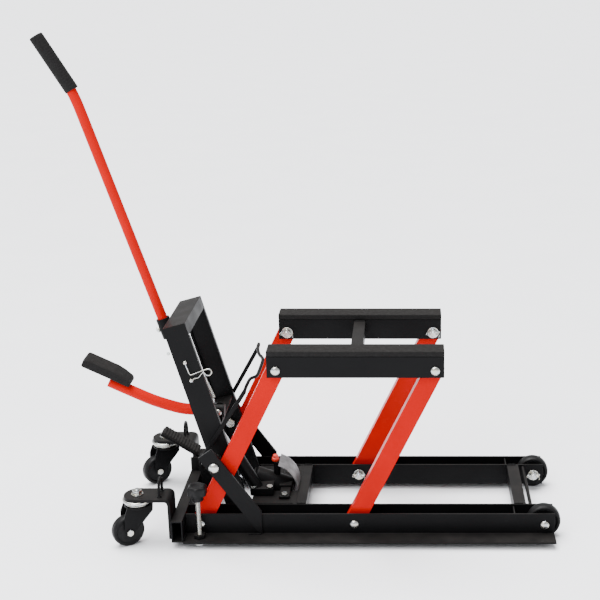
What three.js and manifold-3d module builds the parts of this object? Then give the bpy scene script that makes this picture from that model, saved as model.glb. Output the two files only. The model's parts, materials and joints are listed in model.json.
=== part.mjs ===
// Hydraulic motorcycle lift: two base rails, four parallel arms, a padded platform, a foot pump,
// a lift cylinder, casters, a locking bar and an upright with a removable steering handle.
// Millimetres. +X runs from the handle end to the rear wheels, +Y to the far side, +Z up.

import * as THREE from 'three';
import { mergeVertices } from 'three/addons/utils/BufferGeometryUtils.js';
import Module from 'manifold-3d';

const wasm = await Module();
wasm.setup();

// ---- Driving dimensions ----

const GAP = 0.3;                    // clearance between pieces that touch
const DEG = Math.PI / 180;
const SIDES = { near: -1, far: 1 };
const SMALL_SIDES = 12;             // faces around bolts, pins and rods
const LARGE_SIDES = 18;             // faces around tubes and knobs
const WHEEL_SIDES = 24;

const PIVOT_SPACING = 337;          // front to rear arm pivots
const PIVOT_HEIGHT = 39;
const ARM_LENGTH = 400;             // pivot to pivot
const ARM_ANGLE = 64 * DEG;         // raised
const ARM_WIDTH = 40;
const ARM_INNER = 112.5;            // distances from the middle plane
const ARM_OUTER = 137.5;
const ARM_WALL = 2.5;

const RAIL_INNER = 100;
const RAIL_OUTER = 150;
const RAIL_WALL = 4;
const RAIL_BOTTOM = 14;
const RAIL_TOP = 64;
const RAIL_REAR = 777;
const FLANGE_EDGE = 193;

const CROSS_TUBE = { front: -58, rear: -33, half: 190, bottom: 16, top: 66, wall: 3 };

const BEAM_OVERHANG = 19;           // beyond the pivots
const BEAM_BELOW = 16;              // below the pivot axis
const BEAM_ABOVE = 31;
const BEAM_WALL = 3;
const PAD_THICKNESS = 12;

const BOLT_RADIUS = 6;
const BOLT_CLEARANCE = 0.6;
const HEAD_RADIUS = 10;
const HEAD_HEIGHT = 6;
const NUT_RADIUS = 10.5;
const NUT_HEIGHT = 9;
const WASHER_RADIUS = 13;
const WASHER_HEIGHT = 2;

const WHEEL_RADIUS = 37.5;
const WHEEL_WIDTH = 27;
const AXLE_X = 755;

const CASTER = { stemX: -134, stemY: 153, trail: 26, radius: 35, width: 25, nearTurn: 209, farTurn: 215 };
const CASTER_FORK = { raceway: 32, crown: 28, sheet: 3, sideGap: 1.2 };
const STRAP = { width: 58, thickness: 6, top: 114, legX: -58.3, legBottom: 20 };

const MAST_TILT = 15.7 * DEG;       // lean of the upright towards the handle end
const MAST_FRONT = 63;              // the upright's edges, measured across it
const MAST_REAR = 113;
const MAST_TOP = 475;               // measured along it
const MAST_PLATE = 4;
const MAST_OUTER = RAIL_INNER - 0.4;
const MAST_FLANGE = 89;             // inner edge of the folded flanges
const BRIDGE_DEPTH = 28;

const KNEE = { x: 36, z: 177, radius: 7, sleeve: 7.6 };
const BRACE_TILT = 55 * DEG;
const BRACE_WIDTH = 36;
const BRACE_THICKNESS = 6;
const BRACE_ABOVE_KNEE = 38;
const BRACE_FOOT_X = 135;

const LEVER_MIDDLE = 70 * DEG;      // lift lever direction at half stroke
const LEVER_RAISED = 98 * DEG;
const LEVER_REACH = 75;             // torque tube to the ram's line
const TORQUE_RADIUS = 14;
const RAM_RADIUS = 11;
const CYLINDER_RADIUS = 26;
const CYLINDER_END = 170;           // from the middle of the ram's stroke
const CYLINDER_MOUTH = 73;
const PIN_RADIUS = 6;

const PUMP_Y = -44;
const PUMP_TILT = 61.6 * DEG;
const PUMP_TOP = { x: 54.6, z: 180.6 };
const PUMP_RADIUS = 15;
const PLUNGER_RADIUS = 6;
const PEDAL_PIVOT = { x: 34, z: 266 };
const PEDAL_RADIUS = 12.5;
const FOOT_PAD = { x: -202.8, z: 363.4, length: 113, width: 50, height: 18, slope: 26 * DEG };
const FOOT_PLATE = { x: -193, z: 346, length: 76, width: 34, height: 3.4 };
const FOOT_WEB = { x: -184, z: 335.6, length: 36, width: 10, height: 14 };

const HANDLE_FOOT = { x: -81, z: 445 };
const HANDLE_BEND = { x: -243.9, z: 964 };
const HANDLE_RADIUS = 11;
const GRIP_RADIUS = 15;
const GRIP_LENGTH = 132;
const GRIP_ANGLE = 120.6 * DEG;

const LOCK_PIVOT = { x: 21, z: 206 };
const LOCK_FOOT = { x: 6, z: 182 };
const LOCK_WIDTH = 9;
const LOCK_INNER = 103;
const LOCK_OUTER = 108;

const SCREW = { x: 0, y: 170, radius: 5.5, foot: 4, top: 108, knob: 36, knobRadius: 20.5 };
const RELEASE = { x: -22, z: 88, inner: 70, outer: 108, blade: [[-42, 101], [-126, 155]] };

const upperX = ARM_LENGTH * Math.cos(ARM_ANGLE);
const upperZ = PIVOT_HEIGHT + ARM_LENGTH * Math.sin(ARM_ANGLE);

// ---- Materials ----

function finish(color, roughness, metalness) {
  return { color, roughness, metalness };
}

const FINISHES = {
  black: finish('#1d1d1e', 0.45, 0.1),
  red: finish('#d8261c', 0.35, 0.05),
  zinc: finish('#c9ccd0', 0.35, 0.9),
  chrome: finish('#e6e8ea', 0.12, 1.0),
  rubber: finish('#2c2b2a', 0.85, 0.0),
  nylon: finish('#202021', 0.55, 0.0),
  redPlastic: finish('#d23a2a', 0.45, 0.0),
  greySteel: finish('#77777a', 0.5, 0.6),
};

// ---- Solids, booleans and placing ----

const jack = new THREE.Group();

function toSolid(geometry) {
  const bare = geometry.clone();
  bare.deleteAttribute('normal');
  bare.deleteAttribute('uv');
  const merged = mergeVertices(bare, 1e-4);
  return new wasm.Manifold(new wasm.Mesh({
    numProp: 3,
    vertProperties: new Float32Array(merged.attributes.position.array),
    triVerts: new Uint32Array(merged.index.array),
  }));
}

function toGeometry(solid) {
  const mesh = solid.getMesh();
  const geometry = new THREE.BufferGeometry();
  geometry.setAttribute('position', new THREE.BufferAttribute(mesh.vertProperties, 3));
  geometry.setIndex(new THREE.BufferAttribute(mesh.triVerts, 1));
  geometry.computeVertexNormals();
  return geometry;
}

// joins the first list and cuts the second list out of it
function build(added, removed = []) {
  let solid = toSolid(added[0]);
  for (const geometry of added.slice(1)) {
    solid = solid.add(toSolid(geometry));
  }
  for (const geometry of removed) {
    solid = solid.subtract(toSolid(geometry));
  }
  return toGeometry(solid);
}

function addPart(name, geometry, finishName, parent = jack) {
  const mesh = new THREE.Mesh(geometry, new THREE.MeshStandardMaterial(FINISHES[finishName]));
  mesh.name = name;
  parent.add(mesh);
  return mesh;
}

// ---- Plain shapes ----

// low and high may come in either order
function box(x, y, z) {
  const size = [x, y, z].map(([a, b]) => Math.abs(b - a));
  const middle = [x, y, z].map(([a, b]) => (a + b) / 2);
  return new THREE.BoxGeometry(...size).translate(...middle);
}

function rod(from, to, radius, sides = SMALL_SIDES) {
  const start = new THREE.Vector3(...from);
  const end = new THREE.Vector3(...to);
  const along = end.clone().sub(start);
  const geometry = new THREE.CylinderGeometry(radius, radius, along.length(), sides);
  const turn = new THREE.Quaternion().setFromUnitVectors(new THREE.Vector3(0, 1, 0), along.clone().normalize());
  geometry.applyQuaternion(turn);
  return geometry.translate(...start.add(end).multiplyScalar(0.5).toArray());
}

// a round bar across the machine at (x, z)
function crossRod(x, z, yFrom, yTo, radius, sides = SMALL_SIDES) {
  return rod([x, yFrom, z], [x, yTo, z], radius, sides);
}

function outline(points) {
  return new THREE.Shape(points.map(([a, b]) => new THREE.Vector2(a, b)));
}

function extrude(shape, depth) {
  return new THREE.ExtrudeGeometry(shape, { depth, bevelEnabled: false, curveSegments: 7 });
}

// an outline in X and Z, thick along Y
function sidePlate(shape, yA, yB) {
  const geometry = extrude(shape, Math.abs(yB - yA));
  return geometry.rotateX(Math.PI / 2).translate(0, Math.max(yA, yB), 0);
}

// an outline in Y and Z, long along X
function alongX(shape, xFrom, xTo) {
  const turn = new THREE.Matrix4().makeBasis(
    new THREE.Vector3(0, 1, 0),
    new THREE.Vector3(0, 0, 1),
    new THREE.Vector3(1, 0, 0),
  );
  return extrude(shape, xTo - xFrom).applyMatrix4(turn).translate(xFrom, 0, 0);
}

function hollowRectangle(xLow, xHigh, zLow, zHigh, wall) {
  const shape = outline([[xLow, zLow], [xHigh, zLow], [xHigh, zHigh], [xLow, zHigh]]);
  shape.holes.push(outline([
    [xLow + wall, zLow + wall], [xLow + wall, zHigh - wall],
    [xHigh - wall, zHigh - wall], [xHigh - wall, zLow + wall],
  ]));
  return shape;
}

// a band of one thickness along a bent line
function ribbon(points, thickness) {
  const line = points.map(([x, z]) => new THREE.Vector2(x, z));
  const left = [];
  const right = [];
  line.forEach((point, i) => {
    const before = line[Math.max(i - 1, 0)];
    const after = line[Math.min(i + 1, line.length - 1)];
    const along = after.clone().sub(before).normalize();
    const across = new THREE.Vector2(-along.y, along.x).multiplyScalar(thickness / 2);
    left.push(point.clone().add(across));
    right.unshift(point.clone().sub(across));
  });
  return new THREE.Shape([...left, ...right]);
}

function tube(curve, radius, steps, sides) {
  const ring = new THREE.Shape();
  ring.absarc(0, 0, radius, 0, 2 * Math.PI, false);
  return new THREE.ExtrudeGeometry(ring, {
    steps,
    curveSegments: sides,
    bevelEnabled: false,
    extrudePath: curve,
  });
}

function smoothCurve(points) {
  return new THREE.CatmullRomCurve3(points.map((p) => new THREE.Vector3(...p)), false, 'centripetal');
}

// a wheel about the Y axis at (x, z), standing on one of its flats at the nominal radius
function turned(profile, x, z) {
  const points = profile.map(([radius, y]) => new THREE.Vector2(radius, y));
  const halfFace = Math.PI / WHEEL_SIDES;
  return new THREE.LatheGeometry(points, WHEEL_SIDES)
    .rotateY(halfFace)
    .scale(1 / Math.cos(halfFace), 1, 1 / Math.cos(halfFace))
    .translate(x, 0, z);
}

// ---- Base frame ----

function rail(side) {
  const y = (value) => side * value;
  const section = outline([
    [y(RAIL_INNER), RAIL_BOTTOM], [y(FLANGE_EDGE), RAIL_BOTTOM],
    [y(FLANGE_EDGE), RAIL_BOTTOM + RAIL_WALL], [y(RAIL_OUTER), RAIL_BOTTOM + RAIL_WALL],
    [y(RAIL_OUTER), RAIL_TOP], [y(RAIL_OUTER - RAIL_WALL), RAIL_TOP],
    [y(RAIL_OUTER - RAIL_WALL), RAIL_BOTTOM + RAIL_WALL], [y(RAIL_INNER + RAIL_WALL), RAIL_BOTTOM + RAIL_WALL],
    [y(RAIL_INNER + RAIL_WALL), RAIL_TOP], [y(RAIL_INNER), RAIL_TOP],
  ]);
  const webPlate = box([688, 691], [y(RAIL_INNER + 3), y(RAIL_OUTER - 3)], [RAIL_BOTTOM + 3, RAIL_TOP - 4]);
  const weldNut = rod([SCREW.x, y(SCREW.y), RAIL_BOTTOM + 1], [SCREW.x, y(SCREW.y), 27], 13, 6);
  const hole = BOLT_RADIUS + BOLT_CLEARANCE;
  const holes = [0, PIVOT_SPACING].map(
    (x) => crossRod(x, PIVOT_HEIGHT, y(RAIL_INNER - 1), y(RAIL_OUTER + 1), hole),
  );
  holes.push(crossRod(AXLE_X, WHEEL_RADIUS, y(RAIL_INNER - 1), y(RAIL_OUTER + 1), hole));
  const torqueHole = crossRod(
    0, PIVOT_HEIGHT, y(RAIL_INNER - 1), y(RAIL_INNER + 5), TORQUE_RADIUS + 0.8, LARGE_SIDES,
  );
  const wheelSlot = box([AXLE_X - 43, RAIL_REAR + 1], [y(108), y(142)], [RAIL_BOTTOM - 1, 19]);
  const screwHole = rod([SCREW.x, y(SCREW.y), 10], [SCREW.x, y(SCREW.y), 30], SCREW.radius + 0.6);
  return build(
    [alongX(section, CROSS_TUBE.rear + GAP, RAIL_REAR), webPlate, weldNut],
    [...holes, torqueHole, wheelSlot, screwHole],
  );
}

function frontCrossTube() {
  const { front, rear, half, bottom, top, wall } = CROSS_TUBE;
  const tubeBar = sidePlate(hollowRectangle(front, rear, bottom, top, wall), -half, half);
  const ear = box([front + 1, RELEASE.x + 10], [62, 67], [top - 1, RELEASE.z + 12]);
  const pinHole = crossRod(RELEASE.x, RELEASE.z, 61, 68, 5.5);
  return build([tubeBar, ear], [pinHole]);
}

function crossMember(xFrom, xTo) {
  const half = RAIL_INNER - GAP;
  return sidePlate(hollowRectangle(xFrom, xTo, 34, RAIL_TOP, 3), -half, half);
}

// the middle cross-member with the two shelves that carry the jack welded to it
function midCrossMember() {
  const shelf = (side) => box([104, 206], [side * (RAIL_INNER - GAP), side * 34], [58, 63]);
  return build([crossMember(204.9, 227), shelf(SIDES.near), shelf(SIDES.far)]);
}

function rearStopRod() {
  const half = RAIL_INNER - GAP;
  return crossRod(729, 57, -half, half, 4, 12);
}

function brace(side) {
  const along = new THREE.Vector2(Math.cos(BRACE_TILT), -Math.sin(BRACE_TILT));
  const across = new THREE.Vector2(Math.sin(BRACE_TILT), Math.cos(BRACE_TILT)).multiplyScalar(BRACE_WIDTH / 2);
  const knee = new THREE.Vector2(KNEE.x + 3, KNEE.z + 2);
  const top = knee.clone().addScaledVector(along, -BRACE_ABOVE_KNEE);
  const footZ = RAIL_BOTTOM + RAIL_WALL + GAP;
  const upper = top.clone().add(across);
  const lower = top.clone().sub(across);
  const slope = Math.tan(BRACE_TILT);
  const shape = outline([
    [upper.x, upper.y],
    [lower.x, lower.y],
    [lower.x + (lower.y - footZ) / slope, footZ],
    [BRACE_FOOT_X, footZ],
    [BRACE_FOOT_X, upper.y - (BRACE_FOOT_X - upper.x) * slope],
  ]);
  const inner = side * (RAIL_OUTER + GAP);
  const outer = side * (RAIL_OUTER + GAP + BRACE_THICKNESS);
  const hole = crossRod(KNEE.x, KNEE.z, side * 149, side * 158, KNEE.radius + 0.4);
  return build([sidePlate(shape, inner, outer)], [hole]);
}

// ---- Upright ----

// a point given across and along the leaning upright
function mastPoint(across, along) {
  return [
    across * Math.cos(MAST_TILT) - along * Math.sin(MAST_TILT),
    across * Math.sin(MAST_TILT) + along * Math.cos(MAST_TILT),
  ];
}

function mastStrip(acrossFrom, acrossTo, alongTop) {
  const foot = (across) => (20 - across * Math.sin(MAST_TILT)) / Math.cos(MAST_TILT);
  return outline([
    mastPoint(acrossFrom, foot(acrossFrom)), mastPoint(acrossTo, foot(acrossTo)),
    mastPoint(acrossTo, alongTop), mastPoint(acrossFrom, alongTop),
  ]);
}

function mastLeg(side) {
  const plate = sidePlate(
    mastStrip(MAST_FRONT, MAST_REAR, MAST_TOP),
    side * (MAST_OUTER - MAST_PLATE),
    side * MAST_OUTER,
  );
  const flangeTop = MAST_TOP - BRIDGE_DEPTH - 2;
  const flanges = [
    mastStrip(MAST_FRONT, MAST_FRONT + MAST_PLATE, flangeTop),
    mastStrip(MAST_REAR - MAST_PLATE, MAST_REAR, flangeTop),
  ].map((shape) => sidePlate(shape, side * MAST_FLANGE, side * (MAST_OUTER - 1)));
  const kneeHole = crossRod(KNEE.x, KNEE.z, side * 90, side * 102, KNEE.radius + 0.4);
  const lockHole = crossRod(LOCK_PIVOT.x, LOCK_PIVOT.z, side * 90, side * 102, 4);
  return build([plate, ...flanges], [kneeHole, lockHole]);
}

function mastBridge() {
  const half = MAST_OUTER - MAST_PLATE - GAP;
  const bottom = MAST_TOP - BRIDGE_DEPTH;
  const shape = outline([
    mastPoint(MAST_FRONT, bottom), mastPoint(MAST_FRONT + MAST_PLATE, bottom),
    mastPoint(MAST_FRONT + MAST_PLATE, MAST_TOP - MAST_PLATE),
    mastPoint(MAST_REAR - MAST_PLATE, MAST_TOP - MAST_PLATE),
    mastPoint(MAST_REAR - MAST_PLATE, bottom), mastPoint(MAST_REAR, bottom),
    mastPoint(MAST_REAR, MAST_TOP), mastPoint(MAST_FRONT, MAST_TOP),
  ]);
  return sidePlate(shape, -half, half);
}

function kneeBolt(side) {
  const y = (value) => side * value;
  const outerFace = RAIL_OUTER + BRACE_THICKNESS + 2 * GAP;
  return build([
    crossRod(KNEE.x, KNEE.z, y(outerFace), y(outerFace + 7), 11.5, 6),
    crossRod(KNEE.x, KNEE.z, y(84), y(outerFace + 1), KNEE.radius),
    crossRod(KNEE.x, KNEE.z, y(MAST_OUTER + GAP), y(RAIL_OUTER), KNEE.sleeve),
    crossRod(KNEE.x, KNEE.z, y(85), y(MAST_OUTER - MAST_PLATE - GAP), 11.5, 6),
  ]);
}

// ---- Steering handle ----

const handleAngle = Math.atan2(HANDLE_BEND.z - HANDLE_FOOT.z, HANDLE_BEND.x - HANDLE_FOOT.x);

function handlePoint(distance) {
  return [
    HANDLE_FOOT.x + distance * Math.cos(handleAngle),
    0,
    HANDLE_FOOT.z + distance * Math.sin(handleAngle),
  ];
}

function gripPoint(distance) {
  return [
    HANDLE_BEND.x + distance * Math.cos(GRIP_ANGLE),
    0,
    HANDLE_BEND.z + distance * Math.sin(GRIP_ANGLE),
  ];
}

function handleSocket() {
  const [wallX, , wallZ] = handlePoint(10);
  const lug = sidePlate(outline([
    mastPoint(MAST_FRONT - GAP, MAST_TOP - 27), mastPoint(MAST_FRONT - GAP, MAST_TOP - 4),
    [wallX, wallZ + 10], [wallX, wallZ - 22],
  ]), -10, 10);
  const screwEnd = thumbscrewPoint(30);
  return build(
    [rod(handlePoint(-23), handlePoint(23), 15, LARGE_SIDES), lug],
    [
      rod(handlePoint(-19), handlePoint(24), HANDLE_RADIUS + 0.5),
      rod(handlePoint(0), screwEnd, 3.6, 10),
    ],
  );
}

// a point on the axis of the screw that clamps the handle
function thumbscrewPoint(distance) {
  return [
    HANDLE_FOOT.x - distance * Math.sin(handleAngle),
    0,
    HANDLE_FOOT.z + distance * Math.cos(handleAngle),
  ];
}

function thumbscrew() {
  const shank = rod(thumbscrewPoint(HANDLE_RADIUS + 0.4), thumbscrewPoint(20), 3, 10);
  const head = rod(thumbscrewPoint(17), thumbscrewPoint(23), 7, 6);
  return build([shank, head]);
}

function handleTube() {
  const length = Math.hypot(HANDLE_BEND.x - HANDLE_FOOT.x, HANDLE_BEND.z - HANDLE_FOOT.z);
  const bendStart = new THREE.Vector3(...handlePoint(length - 25));
  const bendEnd = new THREE.Vector3(...gripPoint(25));
  const points = [];
  points.push(new THREE.Vector3(...handlePoint(-18)));
  points.push(new THREE.Vector3(...handlePoint(length / 2)));
  const bend = new THREE.QuadraticBezierCurve3(bendStart, new THREE.Vector3(...gripPoint(0)), bendEnd);
  points.push(...bend.getPoints(4));
  points.push(new THREE.Vector3(...gripPoint(GRIP_LENGTH - 8)));
  const shell = sweep(points, HANDLE_RADIUS, SMALL_SIDES);
  const bore = sweep([
    new THREE.Vector3(...handlePoint(-25)),
    ...points.slice(1, -1),
    new THREE.Vector3(...gripPoint(GRIP_LENGTH - 12)),
  ], HANDLE_RADIUS - 2, 10);
  return build([shell], [bore]);
}

// a round bar through a list of points in the middle plane, with mitred corners
function sweep(points, radius, sides) {
  const rings = points.map((point, i) => {
    const before = points[Math.max(i - 1, 0)];
    const after = points[Math.min(i + 1, points.length - 1)];
    const along = after.clone().sub(before).normalize();
    const across = new THREE.Vector3(along.z, 0, -along.x);
    const ring = [];
    for (let k = 0; k < sides; k += 1) {
      const turn = (2 * Math.PI * k) / sides;
      const corner = point.clone().addScaledVector(across, radius * Math.cos(turn));
      corner.y += radius * Math.sin(turn);
      ring.push(corner);
    }
    return ring;
  });
  const positions = [...rings.flat(), points[0], points[points.length - 1]].flatMap((p) => p.toArray());
  const index = [];
  const firstCap = rings.length * sides;
  const lastRing = (rings.length - 1) * sides;
  for (let k = 0; k < sides; k += 1) {
    const next = (k + 1) % sides;
    for (let ring = 0; ring < rings.length - 1; ring += 1) {
      const a = ring * sides;
      const b = a + sides;
      index.push(a + k, a + next, b + k, a + next, b + next, b + k);
    }
    index.push(firstCap, next, k);
    index.push(firstCap + 1, lastRing + k, lastRing + next);
  }
  const geometry = new THREE.BufferGeometry();
  geometry.setAttribute('position', new THREE.Float32BufferAttribute(positions, 3));
  geometry.setIndex(index);
  return geometry;
}

function handleGrip() {
  return build(
    [rod(gripPoint(3), gripPoint(GRIP_LENGTH), GRIP_RADIUS, LARGE_SIDES)],
    [sweep([
      new THREE.Vector3(...handlePoint(500)),
      new THREE.Vector3(...gripPoint(0)),
      new THREE.Vector3(...gripPoint(12)),
      new THREE.Vector3(...gripPoint(GRIP_LENGTH - 6)),
    ], HANDLE_RADIUS + 1.4, SMALL_SIDES)],
  );
}

// ---- Lift arms and platform ----

// a long slot outline between two points
function slotShape(x1, z1, x2, z2, radius, arcSteps = 6) {
  const angle = Math.atan2(z2 - z1, x2 - x1);
  const points = [];
  for (let i = 0; i <= arcSteps; i += 1) {
    const turn = angle - Math.PI / 2 + (Math.PI * i) / arcSteps;
    points.push([x2 + radius * Math.cos(turn), z2 + radius * Math.sin(turn)]);
  }
  for (let i = 0; i <= arcSteps; i += 1) {
    const turn = angle + Math.PI / 2 + (Math.PI * i) / arcSteps;
    points.push([x1 + radius * Math.cos(turn), z1 + radius * Math.sin(turn)]);
  }
  return outline(points);
}

function arm(side, x) {
  const outer = slotShape(x, PIVOT_HEIGHT, x + upperX, upperZ, ARM_WIDTH / 2);
  const bar = sidePlate(outer, side * ARM_INNER, side * ARM_OUTER);
  const reach = ARM_WIDTH;
  const along = [Math.cos(ARM_ANGLE), Math.sin(ARM_ANGLE)];
  const half = ARM_WIDTH / 2 - ARM_WALL;
  const corner = (distance, across) => [
    x + distance * along[0] - across * along[1],
    PIVOT_HEIGHT + distance * along[1] + across * along[0],
  ];
  const hollow = sidePlate(outline([
    corner(-reach, -half), corner(ARM_LENGTH + reach, -half),
    corner(ARM_LENGTH + reach, half), corner(-reach, half),
  ]), side * (ARM_INNER + ARM_WALL), side * (ARM_OUTER - ARM_WALL));
  const hole = BOLT_RADIUS + BOLT_CLEARANCE;
  const holes = [[x, PIVOT_HEIGHT], [x + upperX, upperZ]].map(
    ([hx, hz]) => crossRod(hx, hz, side * (ARM_INNER - 1), side * (ARM_OUTER + 1), hole),
  );
  return build([bar], [hollow, ...holes]);
}

// torque tube between the front arms, with the lift lever that the ram pushes
function torqueTube() {
  const half = ARM_INNER - GAP;
  const lever = (distance, across) => [
    distance * Math.cos(LEVER_RAISED) - across * Math.sin(LEVER_RAISED),
    PIVOT_HEIGHT + distance * Math.sin(LEVER_RAISED) + across * Math.cos(LEVER_RAISED),
  ];
  const plate = sidePlate(outline([
    lever(0, -16), lever(68, -14), lever(94, -14), lever(101, -7),
    lever(101, 7), lever(94, 14), lever(68, 14), lever(0, 16),
  ]), -7.5, 7.5);
  const tubeBar = crossRod(0, PIVOT_HEIGHT, -half, half, TORQUE_RADIUS, LARGE_SIDES);
  const [slotLowX, slotLowZ] = lever(LEVER_REACH - 2, 0);
  const [slotHighX, slotHighZ] = lever(LEVER_REACH / Math.cos(LEVER_RAISED - LEVER_MIDDLE) + 1.5, 0);
  const pinSlot = sidePlate(slotShape(slotLowX, slotLowZ, slotHighX, slotHighZ, PIN_RADIUS + 2), -9, 9);
  const bores = Object.values(SIDES).map(
    (side) => crossRod(0, PIVOT_HEIGHT, side * 86, side * (half + 1), BOLT_RADIUS + BOLT_CLEARANCE),
  );
  return build([tubeBar, plate], [pinSlot, ...bores]);
}

function beam(side) {
  const y = (value) => side * value;
  const bottom = upperZ - BEAM_BELOW;
  const top = upperZ + BEAM_ABOVE;
  const section = outline([
    [y(RAIL_INNER), bottom], [y(RAIL_INNER + BEAM_WALL), bottom],
    [y(RAIL_INNER + BEAM_WALL), top - BEAM_WALL], [y(RAIL_OUTER - BEAM_WALL), top - BEAM_WALL],
    [y(RAIL_OUTER - BEAM_WALL), bottom], [y(RAIL_OUTER), bottom],
    [y(RAIL_OUTER), top], [y(RAIL_INNER), top],
  ]);
  const channel = alongX(section, upperX - BEAM_OVERHANG, upperX + PIVOT_SPACING + BEAM_OVERHANG);
  const holes = [upperX, upperX + PIVOT_SPACING].map(
    (x) => crossRod(x, upperZ, y(RAIL_INNER - 1), y(RAIL_OUTER + 1), BOLT_RADIUS + BOLT_CLEARANCE),
  );
  return build([channel], holes);
}

function beamPad(side) {
  const bottom = upperZ + BEAM_ABOVE + GAP;
  return box(
    [upperX - BEAM_OVERHANG, upperX + PIVOT_SPACING + BEAM_OVERHANG],
    [side * RAIL_INNER, side * RAIL_OUTER],
    [bottom, bottom + PAD_THICKNESS],
  );
}

function platformCross() {
  const middle = upperX + PIVOT_SPACING / 2;
  const half = RAIL_INNER - GAP;
  return sidePlate(hollowRectangle(middle - 13, middle + 13, upperZ - 2, upperZ + 28, 3), -half, half);
}

// a pivot bolt with its head outside and its nut, where it has one, inside
function pivotBolt(side, x, z, withNut) {
  const y = (value) => side * value;
  const face = RAIL_OUTER + GAP;
  const pieces = [
    crossRod(x, z, y(face), y(face + HEAD_HEIGHT), HEAD_RADIUS, 6),
    crossRod(x, z, y(86.5), y(face + 1), BOLT_RADIUS),
  ];
  if (withNut) {
    const inner = RAIL_INNER - GAP;
    pieces.push(crossRod(x, z, y(inner - WASHER_HEIGHT), y(inner), WASHER_RADIUS, 16));
    pieces.push(crossRod(x, z, y(inner - WASHER_HEIGHT - NUT_HEIGHT), y(inner - 1), NUT_RADIUS, 6));
  }
  return build(pieces);
}

// ---- Rear wheels and casters ----

function wheelProfile(radius, width, bore, hubRadius, recess) {
  const half = width / 2;
  const round = width / 6;
  return [
    [bore, -half], [hubRadius, -half], [hubRadius + 2, -half + recess], [radius - 9, -half + recess],
    [radius - 8, -half], [radius - round, -half], [radius, -half + round],
    [radius, half - round], [radius - round, half], [radius - 8, half],
    [radius - 9, half - recess], [hubRadius + 2, half - recess], [hubRadius, half], [bore, half], [bore, -half],
  ];
}

function rearWheel(side) {
  const middle = side * (ARM_INNER + ARM_OUTER) / 2;
  const profile = wheelProfile(WHEEL_RADIUS, WHEEL_WIDTH, BOLT_RADIUS + BOLT_CLEARANCE, 13, 4);
  return turned(profile, AXLE_X, WHEEL_RADIUS).translate(0, middle, 0);
}

function casterFork() {
  const { trail, radius, width } = CASTER;
  const { raceway, crown, sheet, sideGap } = CASTER_FORK;
  const legInner = width / 2 + sideGap;
  const legOuter = legInner + sheet;
  const leg = outline([
    [-crown, 92], [2 - crown, 76], [trail - 13, radius - 2], [trail - 7, radius - 10], [trail + 7, radius - 10],
    [trail + 12, radius], [trail + 8, 74], [crown, 92],
  ]);
  return build([
    rod([0, 0, 94], [0, 0, 107.7], raceway, LARGE_SIDES),
    rod([0, 0, 90], [0, 0, 127], BOLT_RADIUS),
    rod([0, 0, STRAP.top + GAP], [0, 0, STRAP.top + 2.3], WASHER_RADIUS, 16),
    rod([0, 0, STRAP.top + 2], [0, 0, 124], NUT_RADIUS, 6),
    box([-crown, crown], [-legOuter, legOuter], [91, 95]),
    sidePlate(leg, legInner, legOuter),
    sidePlate(leg, -legOuter, -legInner),
    crossRod(trail, radius, -legOuter - 1, legOuter + 1, 4, 10),
    crossRod(trail, radius, -legOuter - 5, -legOuter + 1, 7, 6),
    crossRod(trail, radius, legOuter - 1, legOuter + 5, 7, 6),
  ]);
}

function casterWheel() {
  const { trail, radius, width } = CASTER;
  return turned(wheelProfile(radius, width, 4.5, 10, 3), trail, radius);
}

function addCaster(name, side, turnDegrees) {
  const group = new THREE.Group();
  group.position.set(CASTER.stemX, side * CASTER.stemY, 0);
  group.rotation.z = turnDegrees * DEG;
  jack.add(group);
  addPart(`caster_fork_${name}`, casterFork(), 'black', group);
  addPart(`caster_wheel_${name}`, casterWheel(), 'nylon', group);
}

// angled strap that carries a caster, with a tie-down eye on top
function casterStrap(side) {
  const middle = side * CASTER.stemY;
  const half = STRAP.width / 2;
  const shape = new THREE.Shape();
  shape.moveTo(STRAP.legX, -half);
  shape.lineTo(STRAP.legX, half);
  shape.lineTo(CASTER.stemX, half);
  shape.absarc(CASTER.stemX, 0, half, Math.PI / 2, 1.5 * Math.PI, false);
  shape.closePath();
  const top = extrude(shape, STRAP.thickness).translate(0, middle, STRAP.top - STRAP.thickness);
  const leg = box(
    [STRAP.legX - STRAP.thickness, STRAP.legX],
    [middle - half, middle + half],
    [STRAP.legBottom, STRAP.top - 1],
  );
  const eyeX = -83;
  const eye = tube(smoothCurve([
    [eyeX, middle - 15, STRAP.top - 3], [eyeX, middle - 15, STRAP.top + 18],
    [eyeX, middle - 10, STRAP.top + 33],
    [eyeX, middle, STRAP.top + 38], [eyeX, middle + 10, STRAP.top + 33], [eyeX, middle + 15, STRAP.top + 18],
    [eyeX, middle + 15, STRAP.top - 3],
  ]), 3, 10, 3);
  const stemHole = rod([CASTER.stemX, middle, 100], [CASTER.stemX, middle, 120], BOLT_RADIUS + BOLT_CLEARANCE);
  return build([top, leg, eye], [stemHole]);
}

function levellingScrew(side) {
  const y = side * SCREW.y;
  const knob = new THREE.Shape();
  const lobes = 6;
  const steps = 24;
  for (let i = 0; i < steps; i += 1) {
    const turn = (2 * Math.PI * i) / steps;
    const radius = SCREW.knobRadius + 1.5 * Math.cos(lobes * turn);
    const x = radius * Math.cos(turn);
    const z = radius * Math.sin(turn);
    if (i === 0) {
      knob.moveTo(x, z);
    } else {
      knob.lineTo(x, z);
    }
  }
  knob.closePath();
  return build([
    rod([SCREW.x, y, SCREW.foot + 2], [SCREW.x, y, SCREW.top + 4], SCREW.radius),
    rod([SCREW.x, y, SCREW.foot], [SCREW.x, y, SCREW.foot + 6], 13, LARGE_SIDES),
    extrude(knob, SCREW.knob).translate(SCREW.x, y, SCREW.top),
  ]);
}

// ---- Lift cylinder and foot pump ----

const ramDirection = [
  Math.cos(LEVER_MIDDLE + Math.PI / 2),
  Math.sin(LEVER_MIDDLE + Math.PI / 2),
];
const halfStroke = LEVER_REACH * Math.tan(LEVER_RAISED - LEVER_MIDDLE);

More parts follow.
